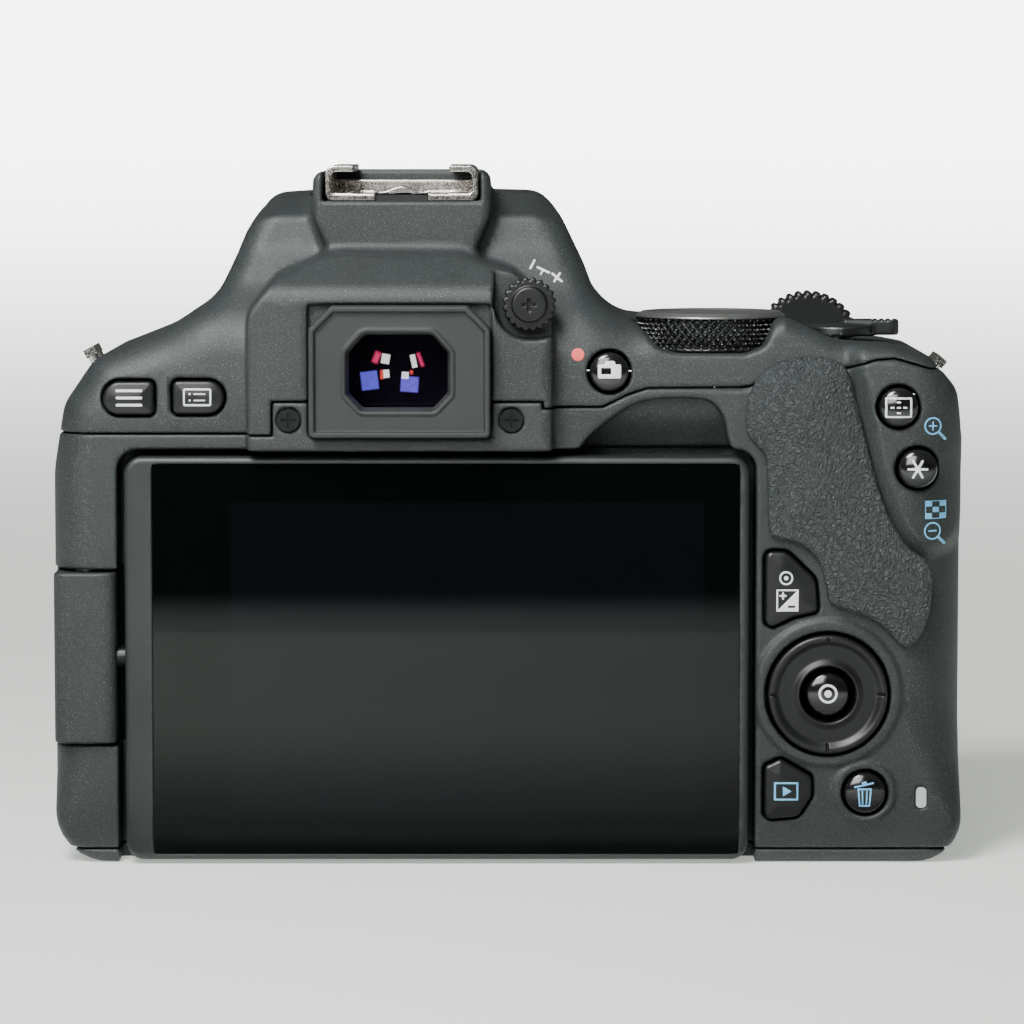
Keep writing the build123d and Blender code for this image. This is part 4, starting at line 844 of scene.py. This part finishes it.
def screen_case(g):
    """The case round the screen, with a soft bevel, room for the glass and the display, and a hole for the
    level hinge at the side.
    """
    face = rear_view(g, rectangle(-37.0, 0.6, 46.7, 55.0, 2.4))
    case = both(face, CASE_REAR - g.y, 0.75)
    case = both(case, g.y - CASE_FRONT, 1.0)
    window = rear_view(g, rectangle(-33.2, 1.5, 45.3, 54.0, 0.9))
    case = cut(case, both(window, g.y + 27.2), 0.12)
    module = box(g, (-26.0, -60, 3.8), (43.4, -24.2, 52.0), 0.2)
    case = cut(case, module)
    return cut(case, maximum(hypot(g.y - LEVEL_Y, g.z - LEVEL_Z) - 1.56, g.x + 29.5))


carve("screen_case", (-38.5, -29, -0.5), (48, -21, 56.2), 0.2, screen_case, "screen", "screen_plastic",
      ("screen_housing",), 0.01)


def hinge_knuckle(g):
    """The block between the two hinges: a flat back rolled round towards the side."""
    barrel = hypot(g.x - UPRIGHT_X, g.y - UPRIGHT_Y) - 5.6
    plan = both(both(barrel, -28.05 - g.y, 1.4), slab(g.x, LEFT + 0.15, -38.2), 0.9)
    block = both(both(plan, g.y + 20.0), slab(g.z, 16.35, 39.35), 0.45)
    block = cut(block, both(hypot(g.x - UPRIGHT_X, g.y - UPRIGHT_Y) - 1.55, 3.9 - np.abs(g.z - 27.85) + 3.7))
    return cut(block, maximum(hypot(g.y - LEVEL_Y, g.z - LEVEL_Z) - 1.55, UPRIGHT_X - g.x))


carve("hinge_knuckle", (-48, -29, 15.5), (-37, -19, 40.5), 0.16, hinge_knuckle, "screen_arm", "body_plastic",
      ("hinge_block",), 0.01)


# ---- Keys ----
def cap_surface(points):
    """A field for the crowned face of a shaped key."""
    return lambda g: CAP_REAR - 0.25 * ramp(-rear_view(g, points), 0, 2.2) - g.y


def shaped_key(points):
    """A field for a key with a crowned face."""
    return lambda g: both(rear_view(g, points), maximum(cap_surface(points)(g), g.y + 24.6), 0.42)


for node, points in SHAPED_KEYS.items():
    a, b = np.min(np.array(points), 0), np.max(np.array(points), 0)
    carve(node.replace("_button", "_cap"), (a[0] - 1, -29.4, a[1] - 1), (b[0] + 1, -23.4, b[1] + 1), 0.1,
          shaped_key(points), node, "key_plastic", (node,), 0.003)


def dome_height(x, z, key):
    """Depth of a round key's domed face."""
    cx, cz, radius = key
    rear, bulge = DOMES[key]
    return rear - bulge * np.sqrt(maximum(1 - ((x - cx) ** 2 + (z - cz) ** 2) / (radius * 1.02) ** 2, 0))


SET_KEY = (RING_X, RING_Z, 2.9)
ROUND_KEYS["set_button"] = SET_KEY
DOMES = {
    ROUND_KEYS["live_view_button"]: (-27.25, 0.9), ROUND_KEYS["af_point_button"]: (-29.4, 1.1),
    ROUND_KEYS["ae_lock_button"]: (-29.4, 1.1), ROUND_KEYS["erase_button"]: (-27.2, 0.8),
    SET_KEY: (-27.35, 0.7),
}


def dome_surface(key):
    """A field for the domed face of a round key."""
    return lambda g: (dome_height(g.x, g.z, key) - g.y) * 0.85


def round_key(key):
    """A field for a round key with a domed face."""
    x, z, radius = key
    return lambda g: both(hypot(g.x - x, g.z - z) - radius, maximum(dome_surface(key)(g), g.y + 23.7), 0.3)


for node, key in ROUND_KEYS.items():
    x, z, radius = key
    carve(node.replace("_button", "_dome"), (x - radius - 0.5, -31.5, z - radius - 0.5),
          (x + radius + 0.5, -23.2, z + radius + 0.5), 0.09, round_key(key), node, "key_gloss", (node,),
          0.003)


def cross_ring(g):
    """The four-way ring: a raised rim, a dished ring with four ticks, and a well for the middle key."""
    away = hypot(g.x - RING_X, g.z - RING_Z)
    dish = -28.25 + 0.5 * ramp(7.4 - away, 0, 1.0) - 0.35 * ramp(4.9 - away, 0, 1.0)
    ring = both(away - 8.0, maximum(dish - g.y, g.y + 23.9), 0.4)
    ring = cut(ring, both(away - 3.78, slab(g.y, -60, 0)), 0.25)
    across, up = np.abs(g.x - RING_X), np.abs(g.z - RING_Z)
    tick = minimum(both(across - 0.16, slab(up, 6.7, 7.7)), both(up - 0.16, slab(across, 6.7, 7.7)))
    return both(cut(ring, both(tick, g.y + 27.6), 0.1), 48.9 - g.x)


carve("cross_ring", (48.4, -29.4, 14.3), (66.2, -23.4, 31.8), 0.12, cross_ring, "cross_keys", "key_plastic",
      ("cross_keys",), 0.004)


# ---- Dials, lever, knob ----
RIDGES = 27  # crossings of the mode dial's knurl in half a turn


def mode_disc(g):
    """The mode dial: a crossed knurl round the side, a bright chamfered rim and a dished top."""
    away = hypot(g.x - MODE_X, g.y - MODE_Y)
    turn = np.arctan2(g.y - MODE_Y, g.x - MODE_X)
    rise = (g.z - 71.0) / MODE_RADIUS * 0.95
    groove = maximum(np.abs(np.cos((turn + rise) * RIDGES)), np.abs(np.cos((turn - rise) * RIDGES)))
    band = ramp(g.z, 69.0, 69.3) * (1 - ramp(g.z, 72.9, 73.1))
    taper = 0.5 * ramp(71.5 - g.z, 0, 2.8)
    radius = MODE_RADIUS - 0.62 * band * ramp(groove, 0.25, 1.0) - taper
    radius = radius - 0.7 * ramp(g.z, 73.25, 73.95)
    side = (away - radius) * 0.8
    top = 73.9 - 0.30 * ramp(8.6 - away, 0, 0.5)
    disc_form = both(side, maximum(g.z - top, 68.72 - g.z), 0.12)
    return minimum(disc_form, post(g, MODE_X, MODE_Y, 3.0, 64.5, 69.2))


def dial_finish():
    """Dark knurled metal with a bright rim and a bright cap."""
    n = Nodes("mode_dial_metal")
    parts = n.axes()
    rim = n.spread(parts["Z"], 73.12, 73.24)
    spots = n.noise(0.22, 2, 0.6)
    dark = n.mix(n.spread(spots, 0.3, 0.7), (0.030, 0.033, 0.032), (0.052, 0.056, 0.054))
    n.colour(n.mix(rim, n.worn(dark, (0.42, 0.43, 0.42), 0.9), (0.27, 0.28, 0.27)))
    n.rough(n.spread(spots, 0.3, 0.7, 0.30, 0.42))
    n.normal(n.bump(spots, 0.3, 0.01))
    n.fixed(Metallic=0.85)
    return n.material


carve("mode_knob", (31.2, -24.2, 64), (52.8, -2.6, 74.6), 0.12, mode_disc, "mode_dial", "dial_metal",
      ("mode_dial",), 0.006, dial_finish())


def main_wheel(g):
    """The main dial: a ribbed wheel with rounded ribs."""
    away = hypot(g.x - WHEEL_X, g.z - WHEEL_Z)
    turn = np.arctan2(g.z - WHEEL_Z, g.x - WHEEL_X)
    radius = 7.4 - 0.5 * (0.5 + 0.5 * np.cos(turn * 34)) ** 2
    wheel = both((away - radius) * 0.85, slab(g.y, 11.6, 16.4), 0.5)
    return minimum(wheel, both(away - 1.0, slab(g.y, 8.7, 12)))


carve("main_wheel", (49, 8, 60.2), (65, 17, 76.2), 0.14, main_wheel, "main_dial", "key_plastic",
      ("main_dial",), 0.006)

LEVER_LOW = cad("power_lever")[0][2] + 4.0


def shutter_cap(g):
    """The shutter button: a round cap on the slope of the grip, dished for the finger."""
    away, rise = round_shutter(g)
    return both(away - 4.7, maximum(rise - 1.2 + 0.5 * ramp(4.4 - away, 0, 3.4), -4.0 - rise), 0.35)


carve("shutter_cap", (52, 19, 58), (63, 32, 70), 0.12, shutter_cap, "shutter_button", "key_plastic",
      ("shutter_button",), 0.005)


def lever(g):
    """The power lever: a flat disc with a thumb tab."""
    z = LEVER_LOW
    away = hypot(g.x - LEVER_X, g.y - LEVER_Y)
    plate = both(away - 4.8, slab(g.z, z + 0.2, z + 1.5 + 0.25 * ramp(4.2 - away, 0, 3)), 0.3)
    tab_plan = [(LEVER_X, -10.6, 0.5), (68.0, -10.6, 1.2), (68.0, -7.4, 1.2), (LEVER_X, -7.4, 0.5)]
    tab = both(plan_view(g, tab_plan), slab(g.z, z + 0.2, z + 2.4), 0.4)
    ribs = both(np.abs(np.mod(g.x, 0.9) - 0.45) - 0.16, z + 2.15 - g.z)
    tab = cut(tab, maximum(ribs, slab(g.x, 64.4, 67.4)), 0.1)
    form = either(plate, maximum(tab, 60.5 - g.x), 0.5)
    return minimum(form, post(g, LEVER_X, LEVER_Y, 2.0, z - 4.0, z + 0.6))


carve("lever_arm", (54.4, -14.4, LEVER_LOW - 4.4), (68.6, -3.6, LEVER_LOW + 3), 0.12, lever, "power_lever",
      "dial_metal", ("power_lever",), 0.006)


def knob(g):
    """The dioptre knob: a ribbed wheel with a crossed slot."""
    away = hypot(g.x - KNOB_X, g.z - KNOB_Z)
    turn = np.arctan2(g.z - KNOB_Z, g.x - KNOB_X)
    radius = 3.6 - 0.34 * (0.5 + 0.5 * np.cos(turn * 20)) ** 2
    wheel = both((away - radius) * 0.85, slab(g.y, -29.4, -27.3), 0.3)
    wheel = either(wheel, both(away - 2.35, slab(g.y, -30.15, -28), 0.3), 0.15)
    across, up = np.abs(g.x - KNOB_X), np.abs(g.z - KNOB_Z)
    slot = minimum(both(across - 0.2, up - 0.85), both(up - 0.2, across - 0.85))
    wheel = cut(wheel, both(slot, g.y + 29.7), 0.1)
    return minimum(wheel, both(away - 1.5, slab(g.y, -28, -23)))


carve("diopter_wheel", (13, -30.6, 71.2), (21.4, -22.6, 79.6), 0.1, knob, "diopter_knob", "key_plastic",
      ("diopter_knob",), 0.004)


# ---- Accessory shoe ----
RAIL_TOP = 93.7


def shoe_rails(g):
    """The bent metal of the accessory shoe: two hooked rails joined in front, with tabs on the floor."""
    across = np.abs(g.x)
    outside = [(-2, 88.95, 0), (10.4, 88.95, 1.1), (10.4, RAIL_TOP, 1.3), (-2, RAIL_TOP, 0)]
    outer = outline(across, g.z, corners(outside))
    under = RAIL_TOP - 0.9
    inner = outline(across, g.z,
                    corners([(-3, 90.0, 0), (9.5, 90.0, 0.4), (9.5, under, 0.7), (-3, under, 0)]))
    section = cut(outer, inner, 0.08)
    section = cut(section, maximum(across - 6.4, 90.0 - g.z), 0.12)
    section = both(section, 3.5 - across, 0.15)
    rails = both(section, slab(g.y, -18.4, 1.0), 0.12)
    room = both(both(across - 9.4, g.z - 90.6), slab(g.y, -10.5, 0.1))
    rails = cut(rails, room, 0.1)
    return minimum(rails, box(g, (-10.3, 0.2, 88.95), (10.3, 1.0, 91.6), 0.25))


carve("shoe_rails", (-11, -19, 88.4), (11, 1.6, 94.3), 0.12, shoe_rails, "body", "nickel",
      ("hot_shoe_rails",), 0.006)


def shoe_spring(g):
    """The leaf spring that presses on what is slid into the shoe: bowed strips with bent ends."""
    bow = 90.35 + 0.35 * np.cos(g.x * 1.15) - 0.12 * ramp(g.y, -12, -2)
    strip = both(np.abs(g.z - bow) - 0.14, slab(g.y, -17.6, -9.0), 0.05)
    return both(strip, np.abs(g.x) - 4.0, 0.1)


carve("shoe_spring", (-4.6, -18.2, 89.2), (4.6, -8.4, 91.4), 0.09, shoe_spring, "body", "nickel", (), 0.004)


# ---- Printed marks ----
def stroke(u, v, start, end, half):
    """A straight stroke with round ends."""
    (ax, ay), (bx, by) = start, end
    ex, ey = bx - ax, by - ay
    t = np.clip(((u - ax) * ex + (v - ay) * ey) / (ex * ex + ey * ey + 1e-9), 0, 1)
    return hypot(u - ax - ex * t, v - ay - ey * t) - half


def tile(u, v, x, z, half_x, half_z, corner=0.08):
    """A rectangle with round corners."""
    a, b = np.abs(u - x) - half_x + corner, np.abs(v - z) - half_z + corner
    return hypot(maximum(a, 0), maximum(b, 0)) + minimum(maximum(a, b), 0) - corner


def line_of(distance, half):
    """A line along the edge of a shape."""
    return np.abs(distance + half) - half


def least(*fields):
    """Where any of the fields is solid."""
    result = fields[0]
    for field in fields[1:]:
        result = minimum(result, field)
    return result


def camera_mark(u, v):
    body_plate = least(tile(u, v, 0, -0.3, 1.55, 0.95, 0.25), tile(u, v, 0.05, 0.6, 0.72, 0.5, 0.3))
    return maximum(body_plate, -tile(u, v, -0.45, -0.25, 0.66, 0.42))


def grid_mark(u, v):
    middles = (-0.85, 0), (0, 0), (0.85, 0), (0, 0.72), (0, -0.72)
    dashes = [tile(u, v, x, z, 0.28, 0.13, 0.03) for x, z in middles]
    return least(line_of(tile(u, v, 0, 0, 1.8, 1.38, 0.2), 0.14), *dashes)


def star_mark(u, v):
    tips = [(1.25 * np.cos(t), 1.25 * np.sin(t)) for t in np.radians((0, 60, 120))]
    return least(*[stroke(u, v, (-x, -z), (x, z), 0.17) for x, z in tips])


def closer_mark(u, v):
    return least(wider_mark(u, v), stroke(u, v, (-0.35, -0.15), (-0.35, 0.85), 0.12))


def wider_mark(u, v):
    return least(line_of(hypot(u + 0.35, v - 0.35) - 1.2, 0.12),
                 stroke(u, v, (-0.85, 0.35), (0.15, 0.35), 0.12),
                 stroke(u, v, (0.6, -0.62), (1.35, -1.4), 0.2))


def index_mark(u, v):
    middles = (-0.97, 0.8), (0.97, 0.8), (0, 0), (-0.97, -0.8), (0.97, -0.8)
    squares = [tile(u, v, x, z, 0.44, 0.36, 0.03) for x, z in middles]
    return least(line_of(tile(u, v, 0, 0, 1.5, 1.24, 0.05), 0.06), *squares)


def exposure_mark(u, v):
    square = tile(u, v, 0, 0, 1.5, 1.5, 0.1)
    lower = maximum(square, (v - u) * 0.7071)
    lower = maximum(lower, -tile(u, v, 0.55, -0.85, 0.5, 0.14, 0.03))
    plus = least(tile(u, v, -0.62, 0.62, 0.5, 0.13, 0.03), tile(u, v, -0.62, 0.62, 0.13, 0.5, 0.03))
    aperture = line_of(hypot(u + 0.2, v - 3.0) - 0.95, 0.13)
    return least(line_of(square, 0.12), lower, plus, aperture, hypot(u + 0.2, v - 3.0) - 0.3)


def play_mark(u, v):
    arrow = maximum(-0.45 - u, (u - 0.75) * 0.5 + np.abs(v) * 0.866)
    return least(line_of(tile(u, v, 0, 0, 1.65, 1.25, 0.06), 0.14), arrow)


def bin_mark(u, v):
    can = maximum(np.abs(u) - 0.98 + (0.9 - v) * 0.09, np.abs(v + 0.35) - 1.25)
    lid = least(stroke(u, v, (-1.3, 1.05), (1.15, 1.6), 0.13), stroke(u, v, (-0.25, 1.6), (0.15, 1.7), 0.16))
    ribs = [stroke(u, v, (side * 0.3, 0.5), (side * 0.25, -1.2), 0.1) for side in (-1, 1)]
    return least(line_of(can, 0.12), *ribs, lid)


def bars_mark(u, v):
    return least(*[stroke(u, v, (-1.6, z), (1.6, z), 0.19) for z in (-0.95, 0, 0.95)])


def page_mark(u, v):
    lines = [stroke(u, v, (-0.4, z), (1.0, z), 0.12) for z in (-0.42, 0.42)]
    dots = [hypot(u + 1.0, v - z) - 0.17 for z in (-0.42, 0.42)]
    return least(line_of(tile(u, v, 0, 0, 1.9, 1.2, 0.3), 0.14), *lines, *dots)


def target_mark(u, v):
    return least(line_of(hypot(u, v) - 1.3, 0.17), hypot(u, v) - 0.5)


def dot_mark(u, v):
    return hypot(u, v) - 0.88


def diopter_mark(u, v):
    return least(stroke(u, v, (0.18, 4.47), (0.73, 5.5), 0.16), stroke(u, v, (1.15, 4.6), (2.7, 3.9), 0.16),
                 stroke(u, v, (1.9, 4.28), (1.6, 3.7), 0.14), stroke(u, v, (3.15, 3.75), (4.4, 2.75), 0.16),
                 stroke(u, v, (4.15, 3.8), (3.4, 2.75), 0.16))


INK = 0.055  # half the thickness of a printed mark


def print_mark(name, mark, place, reach, depth, surface, body, finish, slot):
    """Lays a flat mark on a surface given by its distance field."""
    x, z = place
    g = Grid((x - reach, depth[0], z - reach), (x + reach, depth[1], z + reach), 0.065)
    field = both(mark(g.x - x, g.z - z), np.abs(surface(g)) - INK)
    solid(name, g, field, body, slot, (), 0.004, finish)


KEY_MARKS = [
    ("live_view_button", camera_mark, (27.9, 66.7), WHITE_PRINT),
    ("af_point_button", grid_mark, (66.3, 61.7), WHITE_PRINT),
    ("ae_lock_button", star_mark, (68.9, 53.5), WHITE_PRINT),
    ("erase_button", bin_mark, (62.3, 9.4), BLUE_PRINT),
    ("set_button", target_mark, (57.3, 23.1), WHITE_PRINT),
]
for node, mark, place, ink in KEY_MARKS:
    key = ROUND_KEYS[node]
    rear, bulge = DOMES[key]
    print_mark(node.replace("_button", "_mark"), mark, place, 2.3, (rear - bulge - 0.2, rear + 0.1),
               dome_surface(key), node, ink, "key_gloss")
CAP_MARKS = [
    ("menu_button", bars_mark, (-36.2, 62.85), WHITE_PRINT),
    ("info_button", page_mark, (-27.1, 62.95), WHITE_PRINT),
    ("exposure_button", exposure_mark, (51.8, 35.7), WHITE_PRINT),
    ("playback_button", play_mark, (51.75, 9.9), BLUE_PRINT),
]
for node, mark, place, ink in CAP_MARKS:
    reach = 4.4 if node == "exposure_button" else 2.3
    print_mark(node.replace("_button", "_mark"), mark, place, reach, (-28.3, -27.5),
               cap_surface(SHAPED_KEYS[node]), node, ink, "key_plastic")
BODY_MARKS = [
    ("closer_mark", closer_mark, (71.4, 58.8), 2.0, (-31, -22), BLUE_PRINT),
    ("index_mark", index_mark, (71.6, 47.9), 1.8, (-31, -20), BLUE_PRINT),
    ("wider_mark", wider_mark, (71.5, 44.7), 2.0, (-30, -20), BLUE_PRINT),
    ("remote_dot", dot_mark, (23.7, 68.6), 1.2, (-28, -24), RED_PRINT),
    ("diopter_scale", diopter_mark, (17.2, 75.4), 6.2, (-32, -12), WHITE_PRINT),
]
for name, mark, place, reach, depth, ink in BODY_MARKS:
    print_mark(name, mark, place, reach, depth, body_form, "body", ink, "body_plastic")


# ---- Finishes of the CAD pieces that stay ----
DISPLAY_X, DISPLAY_Z = (-22.8, 40.6), (6.6, 48.9)  # edges of the lit area


def cover_glass():
    """The screen's glass: nearly black, a little bluer over the lit area of the display, partly the display's
    own tint and partly a painted reflection, the bluish sheen of its polariser put into the colour.
    """
    n = Nodes("screen_cover_glass")
    parts = n.axes()
    inside = None
    for axis, (a, b) in (("X", DISPLAY_X), ("Z", DISPLAY_Z)):
        middle, half = (a + b) / 2, (b - a) / 2
        near = n.math("ABSOLUTE", n.math("SUBTRACT", parts[axis], middle))
        gate = n.spread(near, half - 0.05, half + 0.05, 1.0, 0.0)
        inside = gate if inside is None else n.math("MULTIPLY", inside, gate)
    film = n.noise(14.0, 3, 0.6)
    # Bluer colour over the display: partly its own tint, partly a painted reflection of the polariser's
    # bluish sheen.
    n.colour(n.mix(inside, (0.0012, 0.0021, 0.0017), (0.0022, 0.0029, 0.0040)))
    n.rough(n.spread(film, 0.45, 0.8, 0.012, 0.05))
    n.fixed(IOR=1.355)
    return n.material


# Painted reflections in the finder's optics: glowing patches painted on the glass in place of the lights'
# glints on its coated surfaces: (x, z, half width, half height, lean in degrees, colour, softness).
PAINTED_REFLECTIONS = [
    (-4.15, 65.1, 1.25, 1.35, 7, (0.10, 0.085, 0.62), 0.25),
    (1.2, 64.6, 1.3, 1.15, -4, (0.12, 0.085, 0.60), 0.25),
    (-3.2, 68.2, 0.62, 1.0, -22, (0.62, 0.035, 0.13), 0.45),
    (2.65, 67.9, 0.42, 1.15, 20, (0.60, 0.03, 0.13), 0.4),
    (-2.5, 65.9, 0.35, 0.75, 0, (0.75, 0.06, 0.05), 0.3),
    (1.45, 66.2, 0.35, 0.4, 0, (0.70, 0.05, 0.06), 0.3),
    (-2.0, 68.0, 0.62, 0.72, -10, (0.86, 0.86, 0.84), 0.14),
    (1.75, 67.7, 0.42, 0.95, 12, (0.84, 0.86, 0.84), 0.14),
    (-1.9, 66.0, 0.46, 0.60, 4, (0.86, 0.84, 0.84), 0.12),
    (0.62, 65.8, 0.52, 0.52, -3, (0.86, 0.84, 0.86), 0.12),
]


def glass_with_painted_reflections():
    """Dark glass with painted reflections: bright patches painted into its colour and made to glow, in place
    of the glints that its coated inner surfaces show.
    """
    n = Nodes("glass_with_painted_reflections")
    parts = n.axes()
    film = n.noise(0.5, 4, 0.6)
    shade = n.mix(n.spread(film, 0.4, 0.9), (0.004, 0.003, 0.006), (0.007, 0.005, 0.010))
    painted_glow = n.mix(n.spread(film, 0.4, 0.9), (0.0, 0.0, 0.0), (0.002, 0.001, 0.003))
    # Each patch is a painted reflection: it tints the colour and glows, fixed on the glass.
    for x, z, half_x, half_z, lean, colour, softness in PAINTED_REFLECTIONS:
        side, rise = n.math("SUBTRACT", parts["X"], x), n.math("SUBTRACT", parts["Z"], z)
        c, t = float(np.cos(np.radians(lean))), float(np.sin(np.radians(lean)))
        across = n.math("ADD", n.math("MULTIPLY", side, c), n.math("MULTIPLY", rise, t))
        along = n.math("SUBTRACT", n.math("MULTIPLY", rise, c), n.math("MULTIPLY", side, t))
        wide = n.spread(n.math("ABSOLUTE", across), half_x, half_x - softness, smooth=True)
        tall = n.spread(n.math("ABSOLUTE", along), half_z, half_z - softness, smooth=True)
        mask = n.math("MULTIPLY", wide, tall)
        mask = n.math("MULTIPLY", mask, n.spread(film, 0.2, 0.75, 0.7, 1.0))
        shade = n.mix(mask, shade, tuple(v * 0.5 for v in colour))
        painted_glow = n.mix(mask, painted_glow, colour)
    n.colour(shade)
    n.join(painted_glow, n.shader.inputs["Emission Color"])
    n.rough(n.spread(film, 0.3, 0.9, 0.04, 0.12))
    n.fixed(Emission_Strength=1.1, IOR=1.5)
    return n.material


def contact_block():
    """A black block with gold pins on its front face."""
    n = Nodes("contact_block")
    parts = n.axes()
    front = cad("mount_contacts")[1][1]
    pins = n.spread(parts["Y"], front - 0.47, front - 0.43)
    grain = n.noise(0.2, 2, 0.6)
    n.colour(n.mix(pins, n.mix(grain, (0.008, 0.008, 0.008), (0.014, 0.014, 0.014)), (0.82, 0.60, 0.27)))
    n.join(pins, n.shader.inputs["Metallic"])
    n.rough(n.spread(grain, 0.3, 0.7, 0.25, 0.40))
    return n.material


FINISH["screen_glass"] = cover_glass()
BY_NODE = {
    "mount_contacts": contact_block(), "eyepiece_lens": glass_with_painted_reflections(), "eyepiece_screws": BLACK_SCREW,
    "tilt_hinge_shaft": BLACK_SCREW,
}
for entry in frame["record"]["subparts"]:
    node = frame["nodes"][entry["node"]]
    node.data.materials.clear()
    node.data.materials.append(BY_NODE.get(entry["node"], FINISH.get(entry["material_slot"], PLASTIC)))


# ---- Floor, backdrop, light and camera ----
BACKGROUND = (0.955, 1.0, 0.945)
GLOW = 6.3  # brightness of the white wall behind


def sheet(name, points):
    """A flat face that is not part of the object."""
    mesh = bpy.data.meshes.new(name)
    mesh.from_pydata(points, [], [tuple(range(len(points)))])
    thing = bpy.data.objects.new(name, mesh)
    bpy.context.scene.collection.objects.link(thing)
    n = Nodes(name)
    mesh.materials.append(n.material)
    return thing, n


def level(half, rear, front, height):
    """Corners of a level sheet between two depths."""
    return [(-half, rear, height), (half, rear, height), (half, front, height), (-half, front, height)]


def unseen_by(thing, *rays):
    """Keeps a sheet from some kinds of ray."""
    for ray in rays:
        setattr(thing, "visible_" + ray, False)


FLOOR = 40.0
floor, paper = sheet("floor", level(FLOOR, -FLOOR, FLOOR, 0))
paper.fixed(Base_Color=(0.80, 0.84, 0.785), Roughness=0.6, Specular_IOR_Level=0.2)
paper.fixed(Emission_Color=(0.95, 1.0, 0.94), Emission_Strength=0.46)
distance = paper.add("ShaderNodeVectorMath", operation="LENGTH")
paper.join(paper.place, distance.inputs[0])
square = paper.math("POWER", distance.outputs["Value"], 2.0)
fade = paper.math("DIVIDE", square, paper.math("ADD", square, 1900.0 ** 2))
fade = paper.math("MULTIPLY", fade, paper.add("ShaderNodeLightPath").outputs["Is Camera Ray"])
glow = paper.add("ShaderNodeEmission")
glow.inputs["Color"].default_value = (*BACKGROUND, 1)
glow.inputs["Strength"].default_value = GLOW
blend = paper.add("ShaderNodeMixShader")
paper.join(fade, blend.inputs["Fac"])
paper.join(paper.shader.outputs["BSDF"], blend.inputs[1])
paper.join(glow.outputs["Emission"], blend.inputs[2])
output = [n for n in paper.tree.nodes if n.type == "OUTPUT_MATERIAL"][0]
paper.join(blend.outputs[0], output.inputs["Surface"])


def black_card(name, points, near=None, far=None, most=1.0):
    """A black face that only glossy rays meet, fading in between two depths: a painted dark reflection, seen
    in glossy surfaces and nowhere else.
    """
    card, black = sheet(name, points)
    black.fixed(Base_Color=(0.004, 0.0045, 0.0045), Roughness=0.9, Specular_IOR_Level=0.0)
    if near is not None:
        black.join(black.spread(black.axes()["Y"], near, far, 0.0, most, smooth=True),
                   black.shader.inputs["Alpha"])
    unseen_by(card, "camera", "diffuse", "shadow", "transmission")


# Painted dark reflection: the glass shows the far floor black through this card.
black_card("floor_card", level(3, -4, -0.26, 0.002), -285.0, -362.0)
# Painted shade: these two cards darken the reflected floor near the body's foot, standing in for its contact
# shade.
black_card("painted_foot_shade_card", level(3, -0.17, -0.03, 0.001), -170.0, -40.0, 0.65)
black_card("painted_toe_shade_card", level(3, -0.05, -0.0285, 0.0015), -46.0, -32.0, 0.7)
# Painted dark reflection: a black wall behind the camera that only glossy surfaces show.
black_card("front_card", [(-2.5, -1.6, 0.0), (2.5, -1.6, 0.0), (2.5, -1.5, 0.5), (-2.5, -1.5, 0.5)])
flag, cloth = sheet("flag", [(-1, -0.3, 0.02), (1, -0.3, 0.02), (1, -0.3, 0.156), (-1, -0.3, 0.156)])
cloth.fixed(Base_Color=(0.01, 0.01, 0.01), Roughness=0.9)
unseen_by(flag, "camera", "diffuse", "glossy", "transmission")


def lamp(name, place, aim, size, power, size_y=None):
    """A soft area light that faces a point."""
    light = bpy.data.lights.new(name, "AREA")
    light.shape = "RECTANGLE"
    light.size, light.size_y = size, size_y or size
    light.energy = power
    thing = bpy.data.objects.new(name, light)
    bpy.context.scene.collection.objects.link(thing)
    thing.location = place
    thing.rotation_euler = (Vector(aim) - Vector(place)).to_track_quat("-Z", "Y").to_euler()
    return thing


CENTRE = (0.0149, -0.028, 0.0476)  # what the camera looks at, in metres
CAMERA_PLACE = (0.0149, -0.6257, 0.0999)
FOCAL_LENGTH = 157.8  # millimetres
lamp("over", (0.0, 0.15, 1.2), CENTRE, 1.1, 0.6)
lamp("key", (-0.30, -1.10, 0.55), CENTRE, 0.6, 12.0)
lamp("near", (-0.12, -0.26, 0.38), (0.0, -0.028, 0.06), 0.16, 2.7)

world = bpy.data.worlds.new("studio")
world.use_nodes = True
bpy.context.scene.world = world
tree = world.node_tree
sky = tree.nodes["Background"]
sky.inputs["Color"].default_value = (*BACKGROUND, 1)
sky.inputs["Strength"].default_value = 0.09
seen = tree.nodes.new("ShaderNodeBackground")
seen.inputs["Color"].default_value = (*BACKGROUND, 1)
seen.inputs["Strength"].default_value = GLOW
path = tree.nodes.new("ShaderNodeLightPath")
choose = tree.nodes.new("ShaderNodeMixShader")
tree.links.new(path.outputs["Is Camera Ray"], choose.inputs["Fac"])
tree.links.new(sky.outputs[0], choose.inputs[1])
tree.links.new(seen.outputs[0], choose.inputs[2])
tree.links.new(choose.outputs[0], tree.nodes["World Output"].inputs["Surface"])

camera_data = bpy.data.cameras.new("camera")
camera_data.sensor_width = 36.0
camera_data.lens = FOCAL_LENGTH
camera = bpy.data.objects.new("camera", camera_data)
bpy.context.scene.collection.objects.link(camera)
camera.location = CAMERA_PLACE
camera.rotation_euler = (Vector(CENTRE) - camera.location).to_track_quat("-Z", "Y").to_euler()
bpy.context.scene.camera = camera
